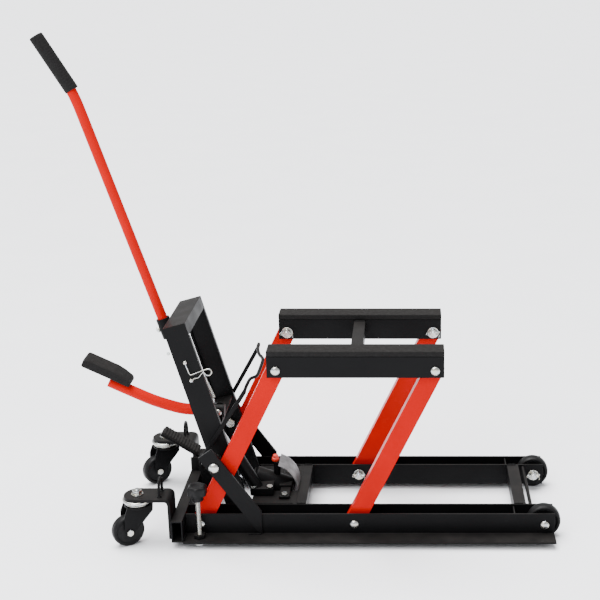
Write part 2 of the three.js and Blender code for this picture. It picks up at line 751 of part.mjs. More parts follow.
// a point on the ram's line, measured from the middle of its stroke
function ramPoint(distance) {
  return [
    LEVER_REACH * Math.cos(LEVER_MIDDLE) + distance * ramDirection[0],
    0,
    PIVOT_HEIGHT + LEVER_REACH * Math.sin(LEVER_MIDDLE) + distance * ramDirection[1],
  ];
}

// a box set along the ram's line
function ramBox(from, to, y, across) {
  const angle = Math.atan2(ramDirection[1], ramDirection[0]);
  const [x, , z] = ramPoint(0);
  return box([from, to], y, [-across, across]).rotateY(-angle).translate(x, 0, z);
}

function pumpPoint(distance) {
  return [
    PUMP_TOP.x - distance * Math.cos(PUMP_TILT),
    PUMP_Y,
    PUMP_TOP.z + distance * Math.sin(PUMP_TILT),
  ];
}

function jackBody() {
  const fillerFoot = [146, 0, 80];
  const fillerTop = [150, 0, 122];
  return build([
    rod(ramPoint(-CYLINDER_END), ramPoint(-CYLINDER_MOUTH - 5), CYLINDER_RADIUS, 24),
    rod(ramPoint(-CYLINDER_MOUTH - 6), ramPoint(-CYLINDER_MOUTH), 21, 6),
    box([160, 190], [-32, 32], [24, 76]),
    box([164, 188], [-78, 58], [63 + GAP, 71]),
    rod(pumpPoint(-122), pumpPoint(0), PUMP_RADIUS, LARGE_SIDES),
    box([98, 150], [-62, -18], [63 + GAP, 82]),
    rod(fillerFoot, fillerTop, 8),
  ], [
    rod(ramPoint(-CYLINDER_END + 4), ramPoint(-CYLINDER_MOUTH + 10), RAM_RADIUS + 0.4, LARGE_SIDES),
    rod(pumpPoint(-62), pumpPoint(2), PLUNGER_RADIUS + 0.4),
  ]);
}

function fillerPlug() {
  return build([
    rod([150, 0, 122 + GAP], [150.6, 0, 130], 8.5),
    rod([150.6, 0, 129], [151.2, 0, 137], 6.5),
  ]);
}

function ram() {
  const cheeks = [-1, 1].map((side) => ramBox(halfStroke - 25, halfStroke + 11, [side * 9, side * 15], 11));
  return build([
    rod(ramPoint(halfStroke - 125), ramPoint(halfStroke - 24), RAM_RADIUS, LARGE_SIDES),
    ramBox(halfStroke - 31, halfStroke - 23, [-15, 15], 11),
    ...cheeks,
    crossRod(ramPoint(halfStroke)[0], ramPoint(halfStroke)[2], -16, 16, PIN_RADIUS),
  ]);
}

function guardPlate() {
  const curve = smoothCurve([
    [160, 0, 124], [178, 0, 114], [193, 0, 97], [201, 0, 76], [203, 0, 58], [203, 0, 38],
  ]);
  const line = curve.getPoints(6).map((p) => [p.x, p.z]);
  return sidePlate(ribbon(line, 3), -32, 32);
}

function plunger() {
  return rod(pumpPoint(-50), pumpPoint(78.8), PLUNGER_RADIUS);
}

// cross plate between the mast legs with the two ears of the pedal's pivot
function pumpBracket() {
  const half = MAST_OUTER - MAST_PLATE - GAP;
  const plate = sidePlate(outline([
    mastPoint(MAST_FRONT + 4.4, 222), mastPoint(MAST_REAR - 4.4, 222),
    mastPoint(MAST_REAR - 4.4, 227), mastPoint(MAST_FRONT + 4.4, 227),
  ]), -half, half);
  const ear = outline([
    mastPoint(MAST_FRONT + 12, 224), mastPoint(MAST_REAR - 5, 224),
    [PEDAL_PIVOT.x + 12, PEDAL_PIVOT.z + 4], [PEDAL_PIVOT.x + 4, PEDAL_PIVOT.z + 12],
    [PEDAL_PIVOT.x - 6, PEDAL_PIVOT.z + 12], [PEDAL_PIVOT.x - 13, PEDAL_PIVOT.z + 2],
  ]);
  const ears = [PUMP_Y - 18, PUMP_Y + 14].map((y) => sidePlate(ear, y, y + 4));
  return build([plate, ...ears], [
    rod(pumpPoint(30), pumpPoint(90), PLUNGER_RADIUS + 3),
    crossRod(PEDAL_PIVOT.x, PEDAL_PIVOT.z, PUMP_Y - 20, PUMP_Y + 20, 5.5),
  ]);
}

function pedalBolt() {
  const { x, z } = PEDAL_PIVOT;
  return build([
    crossRod(x, z, PUMP_Y - 19, PUMP_Y + 22, 5),
    crossRod(x, z, PUMP_Y - 24, PUMP_Y - 18 - GAP, 9, 6),
    crossRod(x, z, PUMP_Y + 18 + GAP, PUMP_Y + 23, 9, 6),
  ]);
}

// a box that slopes as the foot pad does
function footBox({ x, z, length, width, height }) {
  return new THREE.BoxGeometry(length, width, height).rotateY(FOOT_PAD.slope).translate(x, PUMP_Y, z);
}

function pumpPedal() {
  const y = PUMP_Y;
  const bar = tube(smoothCurve([
    [-204, y, 334.4], [-160, y, 313], [-113, y, 291], [-70, y, 276], [-32, y, 268], [PEDAL_PIVOT.x + 10, y, 265],
  ]), PEDAL_RADIUS, 10, 6);
  return build([bar, footBox(FOOT_PLATE), footBox(FOOT_WEB)], [
    crossRod(PEDAL_PIVOT.x, PEDAL_PIVOT.z, y - 20, y + 20, 5.5),
  ]);
}

function pedalPad() {
  return footBox(FOOT_PAD);
}

function pedalSpring() {
  return rod([8, -70, 357], [30, -68, 300], 5, 10);
}

// ---- Release pedal and locking bar ----

function releaseLever() {
  const { x, z, inner, outer } = RELEASE;
  const blade = sidePlate(ribbon([[x, z], [x - 8, z + 8], ...RELEASE.blade], 5), inner, outer);
  const pin = crossRod(x, z, 60, outer - 6, 5);
  const boss = crossRod(x, z, inner, outer, 8);
  return build([blade, boss, pin]);
}

function releasePad() {
  const [[x1, z1], [x2, z2]] = RELEASE.blade;
  const angle = Math.atan2(z1 - z2, x1 - x2);
  const lift = 2.5 + GAP + 3.5;
  return new THREE.BoxGeometry(98, 40, 7)
    .rotateY(-angle)
    .translate((x1 + x2) / 2 - lift * Math.sin(angle), (RELEASE.inner + RELEASE.outer) / 2,
      (z1 + z2) / 2 + lift * Math.cos(angle));
}

function lockBar() {
  const lever = (side, endX, endZ) => sidePlate(
    slotShape(LOCK_FOOT.x, LOCK_FOOT.z, endX, endZ, LOCK_WIDTH / 2),
    side * LOCK_INNER,
    side * LOCK_OUTER,
  );
  const middle = (LOCK_INNER + LOCK_OUTER) / 2;
  const grip = tube(smoothCurve([
    [100, -middle, 331], [108, -103, 350], [114, -90, 358], [124, -72, 357], [127, -50, 359],
    [130, 0, 369], [119, 30, 370], [112, 60, 371], [110, 92, 373], [107, 103, 366], [103, middle, 352],
  ]), 4, 20, 3);
  const pins = Object.values(SIDES).map(
    (side) => crossRod(LOCK_PIVOT.x, LOCK_PIVOT.z, side * 93, side * (LOCK_INNER + 1), 3.5),
  );
  return build([lever(SIDES.near, 101, 333), lever(SIDES.far, 104, 356), grip, ...pins]);
}

// ---- Assembly ----

for (const [name, side] of Object.entries(SIDES)) {
  addPart(`rail_${name}`, rail(side), 'black');
  addPart(`brace_${name}`, brace(side), 'black');
  addPart(`mast_leg_${name}`, mastLeg(side), 'black');
  addPart(`knee_bolt_${name}`, kneeBolt(side), 'zinc');
  addPart(`caster_strap_${name}`, casterStrap(side), 'black');
  addPart(`levelling_screw_${name}`, levellingScrew(side), 'zinc');
  addPart(`front_arm_${name}`, arm(side, 0), 'red');
  addPart(`rear_arm_${name}`, arm(side, PIVOT_SPACING), 'red');
  addPart(`beam_${name}`, beam(side), 'black');
  addPart(`beam_pad_${name}`, beamPad(side), 'rubber');
  addPart(`lower_front_bolt_${name}`, pivotBolt(side, 0, PIVOT_HEIGHT, false), 'zinc');
  addPart(`lower_rear_bolt_${name}`, pivotBolt(side, PIVOT_SPACING, PIVOT_HEIGHT, true), 'zinc');
  addPart(`upper_front_bolt_${name}`, pivotBolt(side, upperX, upperZ, true), 'zinc');
  addPart(`upper_rear_bolt_${name}`, pivotBolt(side, upperX + PIVOT_SPACING, upperZ, true), 'zinc');
  addPart(`axle_bolt_${name}`, pivotBolt(side, AXLE_X, WHEEL_RADIUS, true), 'zinc');
  addPart(`rear_wheel_${name}`, rearWheel(side), 'nylon');
}
addCaster('near', SIDES.near, CASTER.nearTurn);
addCaster('far', SIDES.far, CASTER.farTurn);

addPart('front_cross_tube', frontCrossTube(), 'black');
addPart('mid_cross_member', midCrossMember(), 'black');
addPart('rear_cross_member', crossMember(691, 718), 'black');
addPart('rear_stop_rod', rearStopRod(), 'black');
addPart('mast_bridge', mastBridge(), 'black');
addPart('handle_socket', handleSocket(), 'black');
addPart('handle_clamp_screw', thumbscrew(), 'zinc');
addPart('handle_tube', handleTube(), 'red');
addPart('handle_grip', handleGrip(), 'rubber');
addPart('torque_tube', torqueTube(), 'black');
addPart('platform_cross_member', platformCross(), 'black');
addPart('jack_body', jackBody(), 'black');
addPart('filler_plug', fillerPlug(), 'redPlastic');
addPart('ram', ram(), 'chrome');
addPart('guard_plate', guardPlate(), 'greySteel');
addPart('pump_plunger', plunger(), 'chrome');
addPart('pump_bracket', pumpBracket(), 'black');
addPart('pedal_pivot_bolt', pedalBolt(), 'zinc');
addPart('pump_pedal', pumpPedal(), 'red');
addPart('pedal_pad', pedalPad(), 'rubber');
addPart('pedal_spring', pedalSpring(), 'zinc');
addPart('release_lever', releaseLever(), 'black');
addPart('release_pad', releasePad(), 'rubber');
addPart('lock_bar', lockBar(), 'black');

// the origin is under the middle of the whole object, on the floor
const extent = new THREE.Box3().setFromObject(jack, true);
const centre = extent.getCenter(new THREE.Vector3());
jack.position.set(-centre.x, -centre.y, -extent.min.z);

export default jack;
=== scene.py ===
"""Looks of a foot-pumped hydraulic motorcycle lift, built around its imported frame.

Each group of pieces is one operator in the Lift tab of the 3D view's sidebar. Places are given in
millimetres: x from the front arm pivot towards the rear wheels, y from the middle plane towards the
far side, z up from the floor.
"""

import functools
import json
import math

import bmesh
import bpy
import numpy as np
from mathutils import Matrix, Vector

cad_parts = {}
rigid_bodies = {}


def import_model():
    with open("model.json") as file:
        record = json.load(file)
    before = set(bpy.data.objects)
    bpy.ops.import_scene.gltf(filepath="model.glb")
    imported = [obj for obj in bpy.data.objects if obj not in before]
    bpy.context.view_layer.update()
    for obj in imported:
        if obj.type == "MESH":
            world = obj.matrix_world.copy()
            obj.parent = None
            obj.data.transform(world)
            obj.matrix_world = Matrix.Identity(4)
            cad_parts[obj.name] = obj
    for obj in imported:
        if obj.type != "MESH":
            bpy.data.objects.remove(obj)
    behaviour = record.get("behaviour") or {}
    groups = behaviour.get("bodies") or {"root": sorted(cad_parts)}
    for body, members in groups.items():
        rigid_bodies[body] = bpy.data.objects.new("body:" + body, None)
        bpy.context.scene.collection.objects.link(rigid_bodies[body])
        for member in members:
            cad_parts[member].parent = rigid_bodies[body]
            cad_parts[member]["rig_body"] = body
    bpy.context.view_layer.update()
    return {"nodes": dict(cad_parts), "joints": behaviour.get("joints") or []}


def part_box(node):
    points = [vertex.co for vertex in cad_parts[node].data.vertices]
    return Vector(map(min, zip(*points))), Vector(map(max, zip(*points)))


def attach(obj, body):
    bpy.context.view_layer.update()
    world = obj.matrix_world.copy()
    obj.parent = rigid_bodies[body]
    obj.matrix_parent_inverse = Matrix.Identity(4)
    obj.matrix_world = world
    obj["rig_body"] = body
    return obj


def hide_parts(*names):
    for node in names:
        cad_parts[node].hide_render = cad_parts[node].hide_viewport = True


bl_info = {
    "name": "Hydraulic motorcycle lift",
    "version": (1, 0, 0),
    "blender": (4, 5, 0),
    "location": "View3D > Sidebar > Lift",
    "description": "Builds the finishes and fine pieces of a foot-pumped motorcycle lift",
    "category": "Object",
}

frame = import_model()

MM = 0.001
SIDES = {"near": -1, "far": 1}
JOINTS = {joint["name"]: joint for joint in frame["joints"]}
PIVOT_X = JOINTS["lift"]["pos_m"][0]

RAIL_INNER = 100  # middle plane to a rail's inner face, and to a beam's
RAIL_OUTER = 150
WELD_INSET = 0.6  # a weld's middle line from the face it runs on
SEAT_GAP = 0.3  # a head or washer from the face it sits on
WASHER_THICKNESS = 1.9
CASTER_X, CASTER_Y = -134.0, 153
EYE_X, EYE_HALF = -83, 15
SCREW_Y = 170
KNEE_X, KNEE_Z = 36, 177
PEDAL_Y = -44
PAD_X, PAD_Z = -202.8, 363.4
PAD_SLOPE = math.radians(26)


# ---- Places ----


def at(x, y, z):
    """A point in metres, from x, y and z in millimetres."""
    return np.array([PIVOT_X + x * MM, y * MM, z * MM])


def sheet_points(x, y, z):
    """A grid of points in metres, from x, y and z in millimetres that broadcast together."""
    return np.stack(np.broadcast_arrays(PIVOT_X / MM + x, y, z), -1) * MM


def joint_point(name):
    """Where a joint is, in metres."""
    return np.array(JOINTS[name]["pos_m"])


def joint_axis(name):
    """The unit vector along a joint's axis."""
    return np.array(JOINTS[name]["axis"])


def body_of(node):
    """The body that a CAD node rides on."""
    return frame["nodes"][node]["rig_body"]


def unit(vector):
    """The vector at length one, along its last axis."""
    vector = np.asarray(vector, float)
    return vector / np.linalg.norm(vector, axis=-1, keepdims=True)


# ---- Curves and sections ----


def smooth(points, per_span=8):
    """A Catmull-Rom curve: each span is the cubic whose end slopes are half the chord of its
    two neighbours."""
    points = np.asarray(points, float)
    p = np.vstack([2 * points[0] - points[1], points, 2 * points[-1] - points[-2]])
    t = np.linspace(0, 1, per_span, endpoint=False)[None, :, None]
    a, b, c, d = p[:-3, None], p[1:-2, None], p[2:-1, None], p[3:, None]
    curve = 2 * b + (c - a) * t + (2 * a - 5 * b + 4 * c - d) * t**2 + (3 * b - a - 3 * c + d) * t**3
    return np.vstack([curve.reshape(-1, points.shape[1]) / 2, points[-1]])


def bent(points, radius, steps=6):
    """A line with each inner corner replaced by a parabola that starts and ends one radius away
    from the corner, or half a side where that is shorter."""
    points = np.asarray(points, float)
    t = np.linspace(0, 1, steps)[:, None]
    rows = [points[:1]]
    for before, corner, after in zip(points, points[1:], points[2:]):
        ends = []
        for other in (before, after):
            length = np.linalg.norm(other - corner)
            ends.append(corner + (other - corner) * min(radius, length / 2.05) / length)
        rows.append((1 - t) ** 2 * ends[0] + 2 * t * (1 - t) * corner + t**2 * ends[1])
    rows.append(points[-1:])
    return np.vstack(rows)


def ring(radius, sides=24):
    """A circle about the origin, as points in a plane."""
    turn = np.linspace(0, 2 * math.pi, sides, endpoint=False)
    return np.stack([radius * np.cos(turn), radius * np.sin(turn)], -1)


def rounded_rectangle(width, height, radius, steps=5):
    """A rectangle about the origin with quarter circles at its corners, anticlockwise."""
    turn = np.linspace(0, math.pi / 2, steps)
    corners = [(1, 1), (-1, 1), (-1, -1), (1, -1)]
    parts = []
    for quarter, (sx, sy) in enumerate(corners):
        middle = np.array([sx * (width / 2 - radius), sy * (height / 2 - radius)])
        angle = turn + quarter * math.pi / 2
        parts.append(middle + radius * np.stack([np.cos(angle), np.sin(angle)], -1))
    return np.vstack(parts)


# ---- Surfaces ----
# A shell is its points, its four-sided faces and its end faces.


def grid_shell(points, wrap_rows=False, wrap_cols=True, capped=False):
    """A grid of points, rows by columns, as a shell whose faces join neighbouring points."""
    rows, cols, _ = points.shape
    row = np.arange(rows if wrap_rows else rows - 1)[:, None]
    col = np.arange(cols if wrap_cols else cols - 1)[None, :]
    next_row = (row + 1) % rows
    next_col = (col + 1) % cols
    quads = np.stack(
        [row * cols + col, row * cols + next_col, next_row * cols + next_col, next_row * cols + col],
        -1,
    ).reshape(-1, 4)
    caps = []
    if capped:
        caps = [np.arange(cols)[::-1], np.arange((rows - 1) * cols, rows * cols)]
    return points.reshape(-1, 3), quads, caps


def axes_about(axis):
    """Three unit vectors, the axis first, that make a right-handed set in the order 2, 3, 1."""
    axis = unit(axis)
    helper = np.array([0.0, 0.0, 1.0]) if abs(axis[2]) < 0.9 else np.array([1.0, 0.0, 0.0])
    across = unit(np.cross(helper, axis))
    return axis, across, np.cross(axis, across)


def turned(profile, centre, axis, sides=48, closed=False):
    """Radius and distance pairs in millimetres turned about an axis: each pair is a circle. Either
    number may be a row of values, one for each direction. A closed profile makes a ring."""
    axis, across, up = axes_about(axis)
    turn = np.linspace(0, 2 * math.pi, sides, endpoint=False)
    circle = np.cos(turn)[:, None] * across + np.sin(turn)[:, None] * up
    radius = np.array([np.broadcast_to(r, sides) for r, _ in profile]) * MM
    height = np.array([np.broadcast_to(h, sides) for _, h in profile]) * MM
    points = centre + height[:, :, None] * axis + radius[:, :, None] * circle[None]
    return grid_shell(points, wrap_rows=closed)


def hexagon(flat, low, high, centre, axis, chamfer=1.2):
    """A six-sided nut or head: the radius follows the hexagon in its middle and a circle at its
    ends, so its corners are cut off in arcs."""
    sides = 48
    turn = np.linspace(0, 2 * math.pi, sides, endpoint=False)
    corner = flat / np.cos((turn + math.pi / 6) % (math.pi / 3) - math.pi / 6)
    rim = flat * 0.98
    rows = [(0, low), (rim, low), (corner, low + chamfer), (corner, high - chamfer), (rim, high), (0, high)]
    return turned(rows, centre, axis, sides)


def swept(path, section, up=(0, 1, 0), scale=None):
    """A section carried along a path: its first direction is up crossed with the path, its
    second is the path crossed with that. Path in metres, section in millimetres."""
    path = np.asarray(path, float)
    along = unit(np.gradient(path, axis=0))
    side = unit(np.cross(np.asarray(up, float), along))
    top = np.cross(along, side)
    size = np.ones(len(path)) if scale is None else np.asarray(scale, float)
    section = np.asarray(section, float) * MM
    offset = section[None, :, 0, None] * side[:, None] + section[None, :, 1, None] * top[:, None]
    return grid_shell(path[:, None] + size[:, None, None] * offset, capped=True)


def wire(path, radius, up=(0, 1, 0), sides=10):
    """A round wire along a path, with a short rounded tip at both ends."""
    path = np.asarray(path, float)
    scale = np.ones(len(path))
    scale[[0, -1]] = 0.6
    return swept(path, ring(radius, sides), up, scale)


def prism(outline, low, high, side_axis="y"):
    """A flat plate from an outline of x and z pairs, thick along y, in millimetres."""
    outline = np.asarray(outline, float)
    rows = []
    for level in (low, high):
        if side_axis == "y":
            rows.append([at(x, level, z) for x, z in outline])
        else:
            rows.append([at(x, y, level) for x, y in outline])
    return grid_shell(np.array(rows), capped=True)


def block(low, high):
    """A box between two corners in millimetres."""
    (x0, y0, z0), (x1, y1, z1) = low, high
    return prism([(x0, y0), (x1, y0), (x1, y1), (x0, y1)], z0, z1, side_axis="z")


def soft_bar(length, width, height, radius, centre, along, up, ribs=None):
    """A bar with round edges and ends: a rounded rectangle carried along the bar, drawn in near
    each end by a quarter circle. ribs gives the height added to its top at each distance."""
    along = unit(along)
    side = unit(np.cross(up, along))
    top = np.cross(along, side)
    u = np.concatenate([
        -length / 2 + radius * (1 - np.cos(np.linspace(0, math.pi / 2, 6)[:-1])),
        np.linspace(-length / 2 + radius, length / 2 - radius, 121),
        length / 2 - radius * (1 - np.cos(np.linspace(math.pi / 2, 0, 6)[1:])),
    ])
    past = np.clip(np.abs(u) - (length / 2 - radius), 0, radius) / radius
    inset = radius * (1 - np.sqrt(1 - past**2))
    section = rounded_rectangle(width, height, radius * 0.98, 8)
    y = section[None, :, 0] * (1 - 2 * inset / width)[:, None]
    z = section[None, :, 1] * (1 - 2 * inset / height)[:, None]
    if ribs is not None:
        z = z + np.where(z > 0, ribs(u)[:, None] * (1 - past)[:, None], 0)
    points = centre + MM * (
        u[:, None, None] * along + y[:, :, None] * side + z[:, :, None] * top
    )
    return grid_shell(points, capped=True)


# ---- Objects ----


def make_object(name, shells, material, sharp=38.0):
    """One mesh object from a list of shells, with faces outward and smooth up to an angle."""
    points, faces, first = [], [], 0
    for shell_points, quads, caps in shells:
        points.append(shell_points)
        faces.extend((quads + first).tolist())
        faces.extend((cap + first).tolist() for cap in caps)
        first += len(shell_points)
    mesh = bpy.data.meshes.new(name)
    mesh.from_pydata(np.concatenate(points).tolist(), [], faces)
    tidy = bmesh.new()
    tidy.from_mesh(mesh)
    bmesh.ops.remove_doubles(tidy, verts=tidy.verts, dist=1e-6)
    bmesh.ops.recalc_face_normals(tidy, faces=tidy.faces)
    tidy.to_mesh(mesh)
    tidy.free()
    mesh.shade_smooth()
    mesh.set_sharp_from_angle(angle=math.radians(sharp))
    mesh.materials.append(material)
    piece = bpy.data.objects.new(name, mesh)
    bpy.context.scene.collection.objects.link(piece)
    return piece


def round_edges(piece, width, segments=3, angle=40.0):
    """Rounds the edges of a piece that are sharper than an angle. Width in millimetres."""
    bevel = piece.modifiers.new("edge_round", "BEVEL")
    bevel.width = width * MM
    bevel.segments = segments
    bevel.limit_method = "ANGLE"
    bevel.angle_limit = math.radians(angle)
    bevel.use_clamp_overlap = True
    return piece


def add_piece(name, shells, material, body, node=None, sharp=38.0):
    """A piece that has a finish and its slot, rides on a body, and may stand for a CAD node."""
    piece = make_object(name, shells, material(), sharp)
    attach(piece, body)
    if node is not None:
        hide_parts(node)
    return piece


def thicken(piece, thickness):
    """Gives a sheet its thickness in millimetres, half on each side."""
    solid = piece.modifiers.new("sheet", "SOLIDIFY")
    solid.thickness = thickness * MM
    solid.offset = 0.0


# ---- Materials ----
# A maker gives its shader's inputs. Grain much finer than a millimetre would not show, so it is drawn
# about that coarse. The specular levels are lower than is typical for these finishes, and are
# matched to how dark the lift looks under this light.

MIX_FACTOR, MIX_FIRST, MIX_SECOND, MIX_RESULT = 0, 6, 7, 2  # the colour sockets of a Mix node
EVEN = (0.3, 0.7)  # the range that most of a noise lies in


def linear(colour):
    """A hex sRGB colour as linear red, green, blue and alpha."""
    values = np.array([int(colour[i : i + 2], 16) for i in (1, 3, 5)]) / 255
    values = np.where(values <= 0.04045, values / 12.92, ((values + 0.055) / 1.055) ** 2.4)
    return (*values.tolist(), 1.0)


def set_inputs(tree, node, inputs):
    """Sets a node's inputs, each from another node's output, a hex colour or a plain value."""
    for key, value in inputs.items():
        if isinstance(value, bpy.types.NodeSocket):
            tree.links.new(value, node.inputs[key])
        else:
            node.inputs[key].default_value = linear(value) if isinstance(value, str) else value


def add_node(tree, kind, inputs=None, **settings):
    """A shader node with its settings and inputs."""
    node = tree.nodes.new(kind)
    for key, value in settings.items():
        setattr(node, key, value)
    set_inputs(tree, node, inputs or {})
    return node


def finish(slot):
    """Turns a maker of shader inputs into a function that gives the finish's material, made once."""

    def wrap(maker):
        @functools.cache
        def get():
            material = bpy.data.materials.new(slot)
            material.use_nodes = True
            tree = material.node_tree
            place = add_node(tree, "ShaderNodeTexCoord").outputs["Object"]
            set_inputs(tree, tree.nodes["Principled BSDF"], maker(tree, place))
            return material

        get.slot = slot
        return get

    return wrap


def blotches(tree, place, size, edges, values, detail=3.0, roughness=0.5):
    """Noise with blotches about size millimetres across, spread from its edges to the values."""
    inputs = {"Vector": place, "Scale": 1000 / size, "Detail": detail, "Roughness": roughness}
    noise = add_node(tree, "ShaderNodeTexNoise", inputs).outputs["Fac"]
    inputs = {"Value": noise, "From Min": edges[0], "From Max": edges[1],
              "To Min": values[0], "To Max": values[1]}
    return add_node(tree, "ShaderNodeMapRange", inputs).outputs["Result"]


def stained(tree, base, stain, factor):
    """A colour with stains of another colour where a factor says."""
    inputs = {MIX_FACTOR: factor, MIX_FIRST: base, MIX_SECOND: stain}
    return add_node(tree, "ShaderNodeMix", inputs, data_type="RGBA").outputs[MIX_RESULT]


def dust_and_top_sheen(tree, base, dust_and_sheen, facing, factor):
    """A colour with a second colour on the faces that look up, which is partly dust and, on the black coat,
    partly a painted sheen of the light from above: the factor times how far the upward part of the normal
    lies between the two values of facing."""
    normal = add_node(tree, "ShaderNodeNewGeometry").outputs["Normal"]
    upward = add_node(tree, "ShaderNodeSeparateXYZ", {"Vector": normal}).outputs["Z"]
    inputs = {"Value": upward, "From Min": facing[0], "From Max": facing[1], "To Min": 0.0, "To Max": 1.0}
    faces_up = add_node(tree, "ShaderNodeMapRange", inputs).outputs["Result"]
    amount = add_node(tree, "ShaderNodeMath", {0: faces_up, 1: factor}, operation="MULTIPLY")
    return stained(tree, base, dust_and_sheen, amount.outputs[0])


def relief(tree, place, size, depth, detail):
    """A normal roughened by noise with lumps of a size and a depth in millimetres."""
    inputs = {"Vector": place, "Scale": 1000 / size, "Detail": detail, "Roughness": 0.5}
    height = add_node(tree, "ShaderNodeTexNoise", inputs).outputs["Fac"]
    inputs = {"Height": height, "Distance": depth * MM, "Strength": 1.0}
    return add_node(tree, "ShaderNodeBump", inputs).outputs["Normal"]


@finish("black_powder_coat")
def black_powder_coat(tree, place):
    """Semi-gloss black powder coat on steel: fine orange peel, scuffs, and on top faces a warm grey that is
    partly thin dust and partly a painted sheen of the light from above.
    """
    scuffs = blotches(tree, place, 9, (0.66, 0.72), (0.0, 0.4), 6, 0.7)
    # How much warm grey the top faces get: this grey is partly dust and partly a painted sheen of the
    # overhead light, which the low specular level leaves out.
    dust_and_sheen = blotches(tree, place, 30, (0.3, 0.75), (0.3, 0.8), 5)
    return { "Base Color": dust_and_top_sheen(tree, stained(tree, "#0b0b0c", "#1e1e1f", scuffs), "#211f1e",
                                  (0.75, 0.98), dust_and_sheen), "Roughness": blotches(tree, place, 60, EVEN,
                                                                             (0.36, 0.5), 4),
            "Specular IOR Level": 0.07, "Normal": relief(tree, place, 1.6, 0.06, 2), }


@finish("red_enamel")
def red_enamel(tree, place):
    """Glossy red enamel: faint orange peel, slightly darker patches and a few small chips."""
    patches = blotches(tree, place, 80, EVEN, (0.0, 0.6), 4)
    chips = blotches(tree, place, 5, (0.74, 0.77), (0.0, 0.7), 5, 0.65)
    return {
        "Base Color": stained(tree, stained(tree, "#b20a05", "#a00804", patches), "#5c0a05", chips),
        "Roughness": blotches(tree, place, 25, EVEN, (0.22, 0.32), 4),
        "Specular IOR Level": 0.035,
        "Normal": relief(tree, place, 3, 0.06, 2),
    }


@finish("zinc_plate")
def zinc_plate(tree, place):
    """Bright zinc plating: pale, slightly blue and yellow in patches, softly worn."""
    patches = blotches(tree, place, 7, (0.35, 0.65), (0.0, 1.0), 4)
    return {
        "Base Color": stained(tree, "#b3b9be", "#bdb9ab", patches),
        "Metallic": 1.0,
        "Roughness": blotches(tree, place, 3, EVEN, (0.18, 0.36), 5),
        "Normal": relief(tree, place, 1.0, 0.02, 3),
    }


@finish("hard_chrome")
def hard_chrome(tree, place):
    """Ground and chromed rod: mirror bright with fine rubbing marks."""
    return {
        "Base Color": "#dfe2e6",
        "Metallic": 1.0,
        "Roughness": blotches(tree, place, 2, EVEN, (0.07, 0.18), 6),
        "Normal": relief(tree, place, 0.8, 0.008, 4),
    }


@finish("rubber")
def rubber(tree, place):
    """Matt black rubber, dusty grey on its top faces, with a fine grain."""
    grain = blotches(tree, place, 2.2, EVEN, (0.0, 1.0), 4)
    dust_and_sheen = blotches(tree, place, 18, EVEN, (0.4, 0.6), 6)
    return { "Base Color": dust_and_top_sheen(tree, stained(tree, "#121212", "#1c1b1b", grain), "#1d1b1a",
                                  (0.3, 0.95), dust_and_sheen), "Roughness": blotches(tree, place, 10, EVEN,
                                                                            (0.6, 0.85), 4),
            "Specular IOR Level": 0.08, "Normal": relief(tree, place, 0.9, 0.09, 3), }


@finish("nylon")
def nylon(tree, place):
    """Moulded black nylon wheels and knobs: satin, with rolling scuffs."""
    scuffs = blotches(tree, place, 4, (0.55, 0.75), (0.0, 0.6), 6, 0.7)
    return {
        "Base Color": stained(tree, "#0d0d0e", "#272625", scuffs),
        "Roughness": blotches(tree, place, 12, EVEN, (0.36, 0.58), 4),
        "Specular IOR Level": 0.12,
        "Normal": relief(tree, place, 1.4, 0.03, 3),
    }


@finish("red_plastic")
def red_plastic(tree, place):
    """Moulded red plastic plug: satin with a fine texture."""
    shade = blotches(tree, place, 4, EVEN, (0.0, 1.0), 3)
    return {
        "Base Color": stained(tree, "#d9361f", "#c42c19", shade),
        "Roughness": 0.4,
        "Normal": relief(tree, place, 0.8, 0.03, 2),
    }


@finish("grey_sheet_steel")
def sheet_steel(tree, place):
    """Bare grey sheet steel: rolled streaks and faint stains."""
    stains = blotches(tree, place, 22, (0.35, 0.7), (0.0, 1.0), 5)
    return {
        "Base Color": stained(tree, "#7a797b", "#5c5b5c", stains),
        "Metallic": 0.55,
        "Roughness": blotches(tree, place, 8, EVEN, (0.38, 0.6), 5),
        "Normal": relief(tree, place, 1.5, 0.03, 3),
    }


@finish("pale_floor")
def floor_paint(tree, place):
    """Pale matt floor with a hardly visible mottle."""
    mottle = blotches(tree, place, 300, EVEN, (0.0, 1.0), 4)
    return {
        "Base Color": stained(tree, "#f7f8fb", "#f4f5f9", mottle),
        "Roughness": 0.75,
        "Normal": relief(tree, place, 4, 0.02, 2),
    }


# ---- Settings ----


def length(name, default, description):
    """A length setting, given in metres."""
    return bpy.props.FloatProperty(
        name=name, default=default, description=description, subtype="DISTANCE", unit="LENGTH"
    )


class LIFT_FrameSettings(bpy.types.PropertyGroup):
    """Edges and welds of the steel frame."""

    edge_radius: length("Edge radius", 0.0012, "Radius of sheared and coated steel edges")
    arm_radius: length("Arm corner radius", 0.0032, "Corner radius of the rectangular arm tube")
    weld_radius: length("Weld radius", 0.0024, "Half the width of a weld bead")


class LIFT_WheelSettings(bpy.types.PropertyGroup):
    """Sizes of the rear wheels and the casters."""

    rear_radius: length("Rear wheel radius", 0.0375, "Radius of each rear wheel")
    rear_width: length("Rear wheel width", 0.027, "Width of each rear wheel")
    caster_radius: length("Caster radius", 0.035, "Radius of each caster wheel")
    caster_width: length("Caster width", 0.025, "Width of each caster wheel")
    trail: length("Caster trail", 0.026, "Distance from the swivel axis to the axle")


class LIFT_HandleSettings(bpy.types.PropertyGroup):
    """Sizes of the steering handle and the pump pedal."""

    tube_radius: length("Handle tube radius", 0.011, "Radius of the steering handle's tube")
    grip_radius: length("Grip radius", 0.0148, "Radius of the rubber grip")
    grip_length: length("Grip length", 0.132, "Length of the rubber grip")
    pedal_radius: length("Pedal tube radius", 0.0125, "Radius of the pump pedal's tube")


